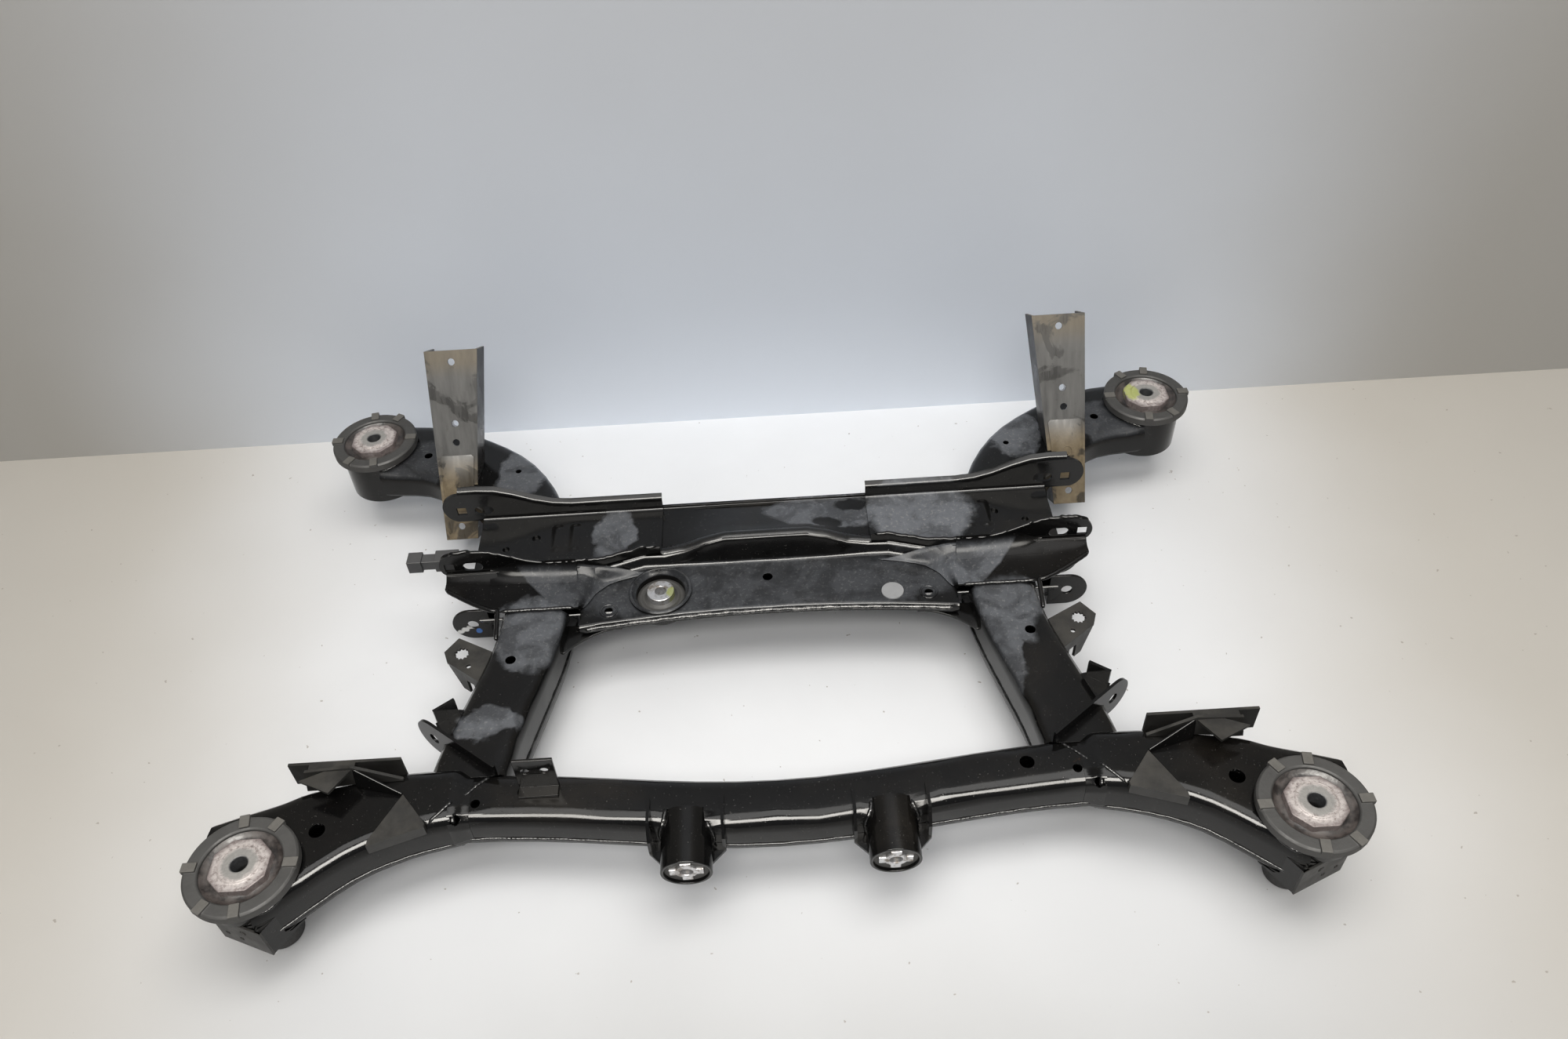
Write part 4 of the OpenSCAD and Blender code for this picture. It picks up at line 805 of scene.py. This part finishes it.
def torus(bm, centre, axis, major, minor, count=40, sides=10):
    """A raised ring."""
    axis = Vector(axis).normalized()
    across = axis.orthogonal().normalized()
    up = axis.cross(across)
    rings = []
    for a in range(count):
        turn = 2 * math.pi * a / count
        out = across * math.cos(turn) + up * math.sin(turn)
        rings.append([
            bm.verts.new(Vector(centre) + out * (major + minor * math.cos(t)) + axis * minor * math.sin(t))
            for t in (2 * math.pi * b / sides for b in range(sides))
        ])
    for a in range(count):
        for b in range(sides):
            c, d = (a + 1) % count, (b + 1) % sides
            bm.faces.new((rings[a][b], rings[c][b], rings[c][d], rings[a][d]))


def sweep(bm, points, radius, sides=12):
    """A smooth round rim along a path, closed at its ends."""
    path = spaced(points, 0.002)
    rings = []
    for i, at in enumerate(path):
        along = (path[min(i + 1, len(path) - 1)] - path[max(i - 1, 0)]).normalized()
        side = along.cross(RIM_UP).normalized()
        up = side.cross(along)
        end = min(i, len(path) - 1 - i)
        width = radius * math.sqrt(1.0 - (1.0 - min(1.0, (end + 0.4) / 3)) ** 2)
        rings.append([
            bm.verts.new(at + (side * math.cos(t) + up * math.sin(t)) * width)
            for t in (2 * math.pi * b / sides for b in range(sides))
        ])
    skin(bm, rings)


def blend_step(f):
    """0 to 1 with a soft start and end."""
    f = max(0.0, min(1.0, f))
    return f * f * (3 - 2 * f)


def between(table, value):
    """A value read from a short list of pairs, straight between them."""
    for (a, fa), (b, fb) in zip(table, table[1:]):
        if value <= b:
            return fa + (fb - fa) * (value - a) / (b - a)
    return table[-1][1]


# Sizes of the small forms

# Tongue: its inner edge as pairs of Y and reach from the middle plane
TONGUE_EDGE = [
    (0.010, 0.2060), (0.020, 0.1985), (0.036, 0.1900), (0.050, 0.1740), (0.057, 0.1500), (0.062, 0.1250),
]
TONGUE_SHEET = 0.0016
# Flutes in the bracket's floor
FLUTE_X = {"left": (0.238, 0.218), "right": (0.251, 0.232)}
FLUTE_Y = (0.088, 0.134)
FLUTE_RISE = 0.0022
FLUTE_WIDTH = 0.0085
FLUTE_FADE = 0.16
FLUTE_FLOOR = (0.2, 0.105)
# Rolled rims: radii, where the wing's rim stops, and the tail that the scoop's rim begins with
WING_RIM = 0.0022
SCOOP_RIM = 0.0026
WING_TIP = 0.0105
SCOOP_RIM_FROM = 0.088
SCOOP_TAIL = (-0.001, -0.034, -0.009)
# Cove between scoop and wing
COVE_END = 0.306
COVE_REACH = 0.017
COVE_RISE = 0.010
COVE_FADE = 0.03
# Corner gusset beside the rail
CORNER_LEVEL = 0.0745
CORNER_SHEET = 0.003
CORNER_REACH = 0.060
CORNER_DEPTH = 0.031
CORNER_FROM_Y, CORNER_TO_Y = -0.030, 0.004
# Post: its foot, lean, length and the widths at foot and top; and the pad on it
POST_FOOT_Y, POST_FOOT_Z = 0.1815, 0.048
POST_LEAN = math.radians(30.7)
POST_LENGTH = 0.229
POST_WIDTHS = (0.038, 0.063)
PAD_SPAN = (0.15, 0.455)
PAD_EDGES = (0.0035, 0.0045)
PAD_CUT = 0.003
PAD_RISE = 0.0012
PAD_MARK = (0.022, 0.285)
# Round on the hump's crest
HUMP_X = (-0.168, 0.188)
HUMP_Y = (0.010, 0.095)
HUMP_ROUND = 0.0085
HUMP_BACK = 0.0048
HUMP_SINK = 0.0068
HUMP_LEVEL = 0.008
# Rubber web between ring and core: radius and height from the ring's top
WEB_PROFILE = [(0.0375, -0.005), (0.0345, -0.0085), (0.0310, -0.0100), (0.0275, -0.0092), (0.0225, -0.0070)]
WEB_COUNT = 72
# Raised rings round two small holes of the shelf
SHELF_HOLES = ((-0.175, 0.010), (0.175, 0.010))
SHELF_RING = (0.0088, 0.0015)
# Flare from the tube to the arm
FLARE_FROM, FLARE_TO = 0.289, TUBE_HALF + 0.0026
# Hood bar: its high end and where it comes down to the cap
HOOD_CREST = (0.398, -0.206)
HOOD_APEX_X = 0.352
HOOD_SHEET = 0.0024
# Foot bracket: turn of its outer leg, bend, flange radius, and holes as shares of the leg with radii
FOOT_TURN = math.radians(23)
FOOT_BEND = 0.0205
FOOT_SHEET = 0.0022
FOOT_HOLES = [(0.42, 0.30, 0.0030), (0.55, 0.68, 0.0025), (0.82, 0.62, 0.0025)]
FLANGE_R = 0.0365
LEG_CELL = 0.0008


# Small forms, one function a piece

def shelf_tongue(side, k):
    """Tongue of the scoop that laps over the end of the shelf."""
    scoop = trees(f"wing_scoop_{side}")
    scoop_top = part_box(f"wing_scoop_{side}")[1].z
    edge_x = reach_of(f"wing_scoop_{side}")[0]
    rows = []
    for y in steps(TONGUE_EDGE[0][0], TONGUE_EDGE[-1][0], 12):
        hit = scoop.ray_cast(Vector((k * (edge_x + 0.003), y, FAR)), DOWN)[0]
        top = (hit.z if hit else scoop_top) + 0.0004
        inner = between(TONGUE_EDGE, y)
        row = []
        for x in steps(inner, edge_x + 0.005, 10):
            rise = blend_step((x - inner) / (edge_x + 0.001 - inner))
            row.append((k * x, y, shelf_z + TONGUE_SHEET + (top - shelf_z - TONGUE_SHEET) * rise))
        rows.append(row if k > 0 else list(reversed(row)))
    bm = bmesh.new()
    grid(bm, rows)
    finish = FINISHES[f"wing_scoop_{side}"]
    solid_piece(f"shelf_tongue_{side}", bm, finish, TONGUE_SHEET, 0.0003)


def bracket_flutes(side, k):
    """Flutes pressed into the floor of the link bracket."""
    floor_x, floor_y = FLUTE_FLOOR
    bracket = trees(f"link_bracket_{side}")
    base = bracket.ray_cast(Vector((k * floor_x, floor_y, FAR)), DOWN)[0].z
    bm = bmesh.new()
    for x in FLUTE_X[side]:
        rows = []
        for y in steps(FLUTE_Y[0], FLUTE_Y[1], 24):
            f = (y - FLUTE_Y[0]) / (FLUTE_Y[1] - FLUTE_Y[0])
            rise = FLUTE_RISE * blend_step(min(f, 1 - f) / FLUTE_FADE)
            rows.append([
                (k * x + t * FLUTE_WIDTH, y, base - 0.0001 + rise * (1 + math.cos(math.pi * t)) / 2)
                for t in steps(-1.0, 1.0, 9)
            ])
        grid(bm, rows)
    make_piece(f"bracket_flutes_{side}", bm, paint_film_and_sheen)


def rolled_rims(side, k):
    """Rolled rims along the front wing's top edge and the scoop's outer edge."""
    bm = bmesh.new()
    bracket = trees(f"link_bracket_{side}")
    wing_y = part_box(f"link_bracket_{side}")[0].y
    wing_in, wing_out = reach_of(f"link_bracket_{side}")
    scan = steps(wing_y - 0.001, wing_y + 0.024, 26)
    crest = []
    for x in steps(wing_in + 0.004, wing_out - WING_TIP - 0.004, 70):
        hits = [hit for hit in trace(bracket, [(k * x, y, FAR) for y in scan], DOWN) if hit]
        crest.append(max(hits, key=lambda hit: hit.z) if hits else None)
    for run in runs(crest, 0.03):
        sweep(bm, run, WING_RIM)

    scoop = trees(f"wing_scoop_{side}")
    scoop_low, scoop_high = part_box(f"wing_scoop_{side}")
    scoop_in, scoop_out = reach_of(f"wing_scoop_{side}")
    scan = steps(scoop_low.y - 0.001, scoop_high.y, 120)
    lip = []
    for x in steps(scoop_in + SCOOP_RIM_FROM, scoop_out - 0.001, 40):
        hits = [hit for hit in trace(scoop, [(k * x, y, FAR) for y in scan], DOWN) if hit]
        lip += hits[:1]
    tail_x, tail_y, tail_z = SCOOP_TAIL
    tail = lip[0] + Vector((k * tail_x, tail_y, tail_z))
    sweep(bm, [tail.lerp(lip[0], f) for f in steps(0.0, 0.96, 12)] + lip, SCOOP_RIM)
    make_piece(f"rolled_rims_{side}", bm, paint_wet)


def wing_cove(side, k):
    """Cove that carries the scoop up into the front wing."""
    bracket, scoop = trees(f"link_bracket_{side}"), trees(f"wing_scoop_{side}")
    scoop_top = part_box(f"wing_scoop_{side}")[1].z
    edge_x = reach_of(f"wing_scoop_{side}")[0]
    rows = []
    for x in steps(edge_x + 0.004, COVE_END, 40):
        face = bracket.ray_cast(Vector((k * x, -FAR, scoop_top + 0.003)), Vector((0, 1, 0)))[0]
        if face is None:
            continue
        start = scoop.ray_cast(Vector((k * x, face.y - COVE_REACH, FAR)), DOWN)[0]
        if start is None:
            continue
        start = start + Vector((0, 0, 0.0003))
        fade = blend_step((COVE_END - x) / COVE_FADE)
        stop = Vector((k * x, face.y - 0.0003, scoop_top + 0.0006 + COVE_RISE * fade))
        corner = Vector((k * x, face.y - 0.0030, start.z + 0.0042))
        rows.append([
            start * (1 - f) ** 2 + corner * 2 * f * (1 - f) + stop * f ** 2
            for f in steps(0.0, 1.0, 12)
        ])
    bm = bmesh.new()
    grid(bm, rows)
    make_piece(f"wing_cove_{side}", bm, FINISHES[f"wing_scoop_{side}"])


def corner_gusset(side, k):
    """Corner gusset under the shelf, beside the rail."""
    rail = trees(f"side_rail_upper_{side}", f"side_rail_lower_{side}")
    wall = rail.ray_cast(Vector((0, CORNER_FROM_Y, 0.072)), Vector((k, 0, 0)))[0]
    wall_x, front_y = abs(wall.x), wall.y - 0.004
    outline = [(wall_x + 0.001, front_y)]
    for f in steps(0.0, 1.0, 9):
        outline.append((wall_x - 0.002 - CORNER_REACH * f, front_y + CORNER_DEPTH * (1 - (1 - f) ** 2)))
    outline += [(wall_x - 0.062, CORNER_TO_Y), (wall_x + 0.001, CORNER_TO_Y)]
    bm = bmesh.new()
    prism(bm, [(k * x, y) for x, y in outline], CORNER_SHEET, Matrix.Translation((0, 0, CORNER_LEVEL)))
    solid_piece(f"corner_gusset_{side}", bm, paint_wet)


def post_pad(side, k):
    """Raised pad on the post's lower half, with a round mark on the right one."""
    foot = Vector((k * reach_of(f"post_{side}")[1], POST_FOOT_Y, POST_FOOT_Z))
    axes = Matrix((
        (-k, 0, 0, foot.x),
        (0, math.sin(POST_LEAN), -math.cos(POST_LEAN), foot.y),
        (0, math.cos(POST_LEAN), math.sin(POST_LEAN), foot.z),
        (0, 0, 0, 1),
    ))
    narrow, wide = POST_WIDTHS
    near, inset = PAD_EDGES
    far_low, far_high = (narrow + (wide - narrow) * f - inset for f in PAD_SPAN)
    low, high = (f * POST_LENGTH for f in PAD_SPAN)
    outline = [
        (near + PAD_CUT, low), (far_low - PAD_CUT, low), (far_low, low + PAD_CUT),
        (far_high, high - PAD_CUT), (far_high - PAD_CUT, high), (near + PAD_CUT, high),
        (near, high - PAD_CUT), (near, low + PAD_CUT),
    ]
    bm = bmesh.new()
    prism(bm, outline, PAD_RISE, axes)
    if side == "right":
        mark = axes @ Vector((PAD_MARK[0], PAD_MARK[1] * POST_LENGTH, PAD_RISE))
        torus(bm, mark, axes.to_3x3() @ Vector((0, 0, 1)), 0.0058, 0.0005)
    solid_piece(f"post_pad_{side}", bm, FINISHES[f"post_{side}"], 0.0, 0.0004)


def hump_crest(x):
    """The point at one x where the rise from the shelf turns level, set in for the round."""
    before = None
    for y in steps(HUMP_Y[0], HUMP_Y[1], 341):
        hit = cross_tree.ray_cast(Vector((x, y, FAR)), DOWN)[0]
        if hit and before and hit.z > shelf_z + HUMP_LEVEL and hit.z - before.z < 0.3 * (hit.y - before.y):
            return hit + Vector((0, HUMP_BACK, -HUMP_SINK))
        before = hit
    return None


def hump_edge():
    """Rounded front edge of the hump, on the line where its steep front turns level."""
    bm = bmesh.new()
    for run in runs([hump_crest(x) for x in steps(HUMP_X[0], HUMP_X[1], 120)], 0.012):
        eased = [(a + b * 2 + c) / 4 for a, b, c in zip(run, run[1:], run[2:])]
        sweep(bm, [run[0]] + eased + [run[-1]], HUMP_ROUND, 24)
    make_piece("hump_edge", bm, paint_gleam)


def bushing_web(end, side):
    """Rubber web in the trough between a ring and its core."""
    middle = centre_of(f"{end}_bushing_{side}")
    rows = []
    for turn in steps(0.0, 2 * math.pi, WEB_COUNT + 1):
        rows.append([
            (middle.x + r * math.cos(turn), middle.y + r * math.sin(turn), RING_TOP + drop)
            for r, drop in WEB_PROFILE
        ])
    bm = bmesh.new()
    grid(bm, rows)
    bmesh.ops.remove_doubles(bm, verts=bm.verts, dist=0.00001)
    make_piece(f"bushing_web_{end}_{side}", bm, trough)


def shelf_rings():
    """Raised rings round the small holes of the shelf."""
    bm = bmesh.new()
    for x, y in SHELF_HOLES:
        torus(bm, (x, y, shelf_z - 0.0004), (0, 0, 1), *SHELF_RING)
    make_piece("shelf_rings", bm, paint)


def shell_point(tree, x, turn):
    """The outside of a box section at one angle, or nothing where there is a hole."""
    way = Vector((0, math.cos(turn), math.sin(turn)))
    centre = Vector((x, SECTION_Y, SECTION_Z))
    hit = tree.ray_cast(centre + way * 0.2, -way)[0]
    if hit is None or (hit - centre).dot(way) < 0.012:
        return None
    return hit + way * 0.0003


def tube_flare(side, k):
    """Flare that carries the tube up to the deeper arm, left open at holes."""
    arm = trees(f"front_arm_upper_{side}", f"front_arm_lower_{side}")
    bm = bmesh.new()
    rows = []
    for x in steps(FLARE_FROM, FLARE_TO, 14):
        f = blend_step((x - FLARE_FROM) / (FLARE_TO - FLARE_FROM))
        row = []
        for turn in steps(math.radians(-30), math.radians(210), 120):
            thin = shell_point(tube_tree, k * min(x, TUBE_HALF - 0.002), turn)
            deep = shell_point(arm, k * FLARE_TO, turn)
            if thin and deep:
                mixed = thin.lerp(deep, f)
                row.append(bm.verts.new((k * x, mixed.y, mixed.z)))
            else:
                row.append(None)
        rows.append(row)
    join_rows(bm, rows)
    make_piece(f"tube_flare_{side}", bm, paint)


def hood_bar(side, k):
    """Bar from the hood's crest down to the three-cornered cap."""
    hood_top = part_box(f"arm_bracket_{side}")[1].z
    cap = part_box(f"arm_gusset_{side}")[1]
    arm_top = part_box(f"front_arm_upper_{side}")[1].z
    crest = Vector((k * HOOD_CREST[0], HOOD_CREST[1], hood_top - 0.003))
    apex = Vector((k * HOOD_APEX_X, cap.y - 0.0005, cap.z + 0.0005))
    rows = []
    for f in steps(0.0, 1.0, 16):
        top = crest.lerp(apex, f)
        foot = Vector((top.x, top.y - 0.006 * (1 - f), arm_top - 0.0005))
        rows.append([top.lerp(foot, g) for g in steps(0.0, 1.0, 6)])
    bm = bmesh.new()
    grid(bm, rows)
    solid_piece(f"hood_bar_{side}", bm, paint_wet, HOOD_SHEET, 0.0008)


def foot_flange(side, k):
    """Top flange of the foot bracket, round the bushing."""
    low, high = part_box(f"foot_bracket_{side}")
    inner, outer = reach_of(f"foot_bracket_{side}")
    ring = centre_of(f"front_bushing_{side}")
    outline = [(inner + 0.021, low.y + 0.0015), (outer - 0.002, high.y - 0.0125)]
    for turn in steps(-50.0, -150.0, 9):
        reach = Vector((math.cos(math.radians(turn)), math.sin(math.radians(turn)))) * FLANGE_R
        outline.append((abs(ring.x) + reach.x, ring.y + reach.y))
    outline.append((inner + 0.001, high.y - 0.002))
    bm = bmesh.new()
    prism(bm, [(k * x, y) for x, y in outline], FOOT_SHEET, Matrix.Translation((0, 0, high.z - 0.0026)))
    solid_piece(f"foot_flange_{side}", bm, paint_wet)


def foot_leg(side, k):
    """Outer leg of the foot bracket, whole, with its three small holes."""
    low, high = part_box(f"foot_bracket_{side}")
    inner, outer = reach_of(f"foot_bracket_{side}")
    along = Vector((k * math.cos(FOOT_TURN), math.sin(FOOT_TURN), 0))
    outward = Vector((k * math.sin(FOOT_TURN), -math.cos(FOOT_TURN), 0))
    corner = Vector((k * (inner + FOOT_BEND), low.y, high.z)) + outward * 0.0004
    leg = (outer - inner - FOOT_BEND) / math.cos(FOOT_TURN)
    drop = high.z - low.z
    holes = [(Vector((u * leg, v * drop)), r) for u, v, r in FOOT_HOLES]

    def clear_of_holes(corners):
        middle = (corners[0].co + corners[2].co) / 2 - corner
        spot = Vector((middle.dot(along), -middle.z))
        return all((spot - hole).length > r for hole, r in holes)

    bm = bmesh.new()
    rows = []
    for i in range(int(drop / LEG_CELL) + 1):
        down = Vector((0, 0, -i * LEG_CELL))
        rows.append([bm.verts.new(corner + along * s + down) for s in steps(0.0, leg, 64)])
    join_rows(bm, rows, clear_of_holes)
    bmesh.ops.delete(bm, geom=[v for v in bm.verts if not v.link_faces], context="VERTS")
    solid_piece(f"foot_leg_{side}", bm, matte, FOOT_SHEET, 0.0002)


def slanting_weld(side, k):
    """Bead on a slant across the top of the tube's end."""
    top = trees("front_tube_upper", f"front_arm_upper_{side}")
    start, stop = (Vector((k * x, y, FAR)) for x, y in SLANT_WELD)
    line = trace(top, [start.lerp(stop, f) for f in steps(0.0, 1.0, 60)], DOWN)
    weld_line(f"weld_slant_{side}", [line], SLANT_BEAD)


for side, k in SIDES.items():
    for make in (shelf_tongue, bracket_flutes, rolled_rims, wing_cove, corner_gusset, post_pad):
        make(side, k)
hump_edge()
for side in SIDES:
    for end in ("front", "rear"):
        bushing_web(end, side)
shelf_rings()
for side, k in SIDES.items():
    for make in (tube_flare, hood_bar, foot_flange, foot_leg):
        make(side, k)
for side, k in SIDES.items():
    slanting_weld(side, k)


# Stage, light and camera

def flat_quad(name, corners, material):
    """A single face of the stage."""
    mesh = bpy.data.meshes.new(name)
    mesh.from_pydata(corners, [], [(0, 1, 2, 3)])
    mesh.materials.append(material)
    quad = bpy.data.objects.new(name, mesh)
    bpy.context.scene.collection.objects.link(quad)


r, h, z = STAGE_REACH, WALL_HEIGHT, -FLOOR_DROP
floor_corners = [(-r, -r, z), (r, -r, z), (r, r, z), (-r, r, z)]
wall_corners = [(-r, WALL_Y, z), (r, WALL_Y, z), (r, WALL_Y, h), (-r, WALL_Y, h)]
flat_quad("floor", floor_corners, floor_paint())
flat_quad("wall", wall_corners, wall_paint())


def lamp(name, at, target, size, power, colour):
    """An area lamp that looks at a target."""
    light = bpy.data.lights.new(name, "AREA")
    light.shape = "RECTANGLE"
    light.size, light.size_y = size
    light.energy = power
    light.color = colour
    piece = bpy.data.objects.new(name, light)
    piece.location = at
    piece.rotation_euler = (Vector(target) - Vector(at)).to_track_quat("-Z", "Y").to_euler()
    bpy.context.scene.collection.objects.link(piece)
    return piece


lamp("overhead", (0.1, -0.25, 2.4), (0.05, 0.0, 0.0), (2.4, 1.1), 34.0, LAMP_WHITE)
lamp("front", (0.0, -1.35, 1.85), (0.0, -0.1, 0.1), (1.4, 0.5), 15.0, LAMP_WHITE)
# Seen only in the gloss of the paint, as a bright window would be
gleam = lamp("gleam", (0.0, -1.30, 1.62), (0.0, -0.15, 0.1), (2.2, 0.80), 140.0, GLEAM_TINT)
gleam.visible_diffuse = False

world = bpy.data.worlds.new("soft_light")
bpy.context.scene.world = world
world.use_nodes = True
sky = world.node_tree.nodes["Background"].inputs
sky["Color"].default_value = (*WORLD_TINT, 1.0)
sky["Strength"].default_value = WORLD_STRENGTH

camera = bpy.data.cameras.new("camera")
camera.lens = CAMERA_LENS
camera.sensor_width = SENSOR_WIDTH
camera.clip_start = 0.05
eye = bpy.data.objects.new("camera", camera)
turn = Matrix.Rotation(math.pi / 2 - CAMERA_PITCH, 4, "X") @ Matrix.Rotation(-CAMERA_ROLL, 4, "Z")
eye.matrix_world = Matrix.Translation(CAMERA_AT) @ turn
bpy.context.scene.collection.objects.link(eye)
bpy.context.scene.camera = eye
bpy.context.scene.view_settings.view_transform = "Standard"
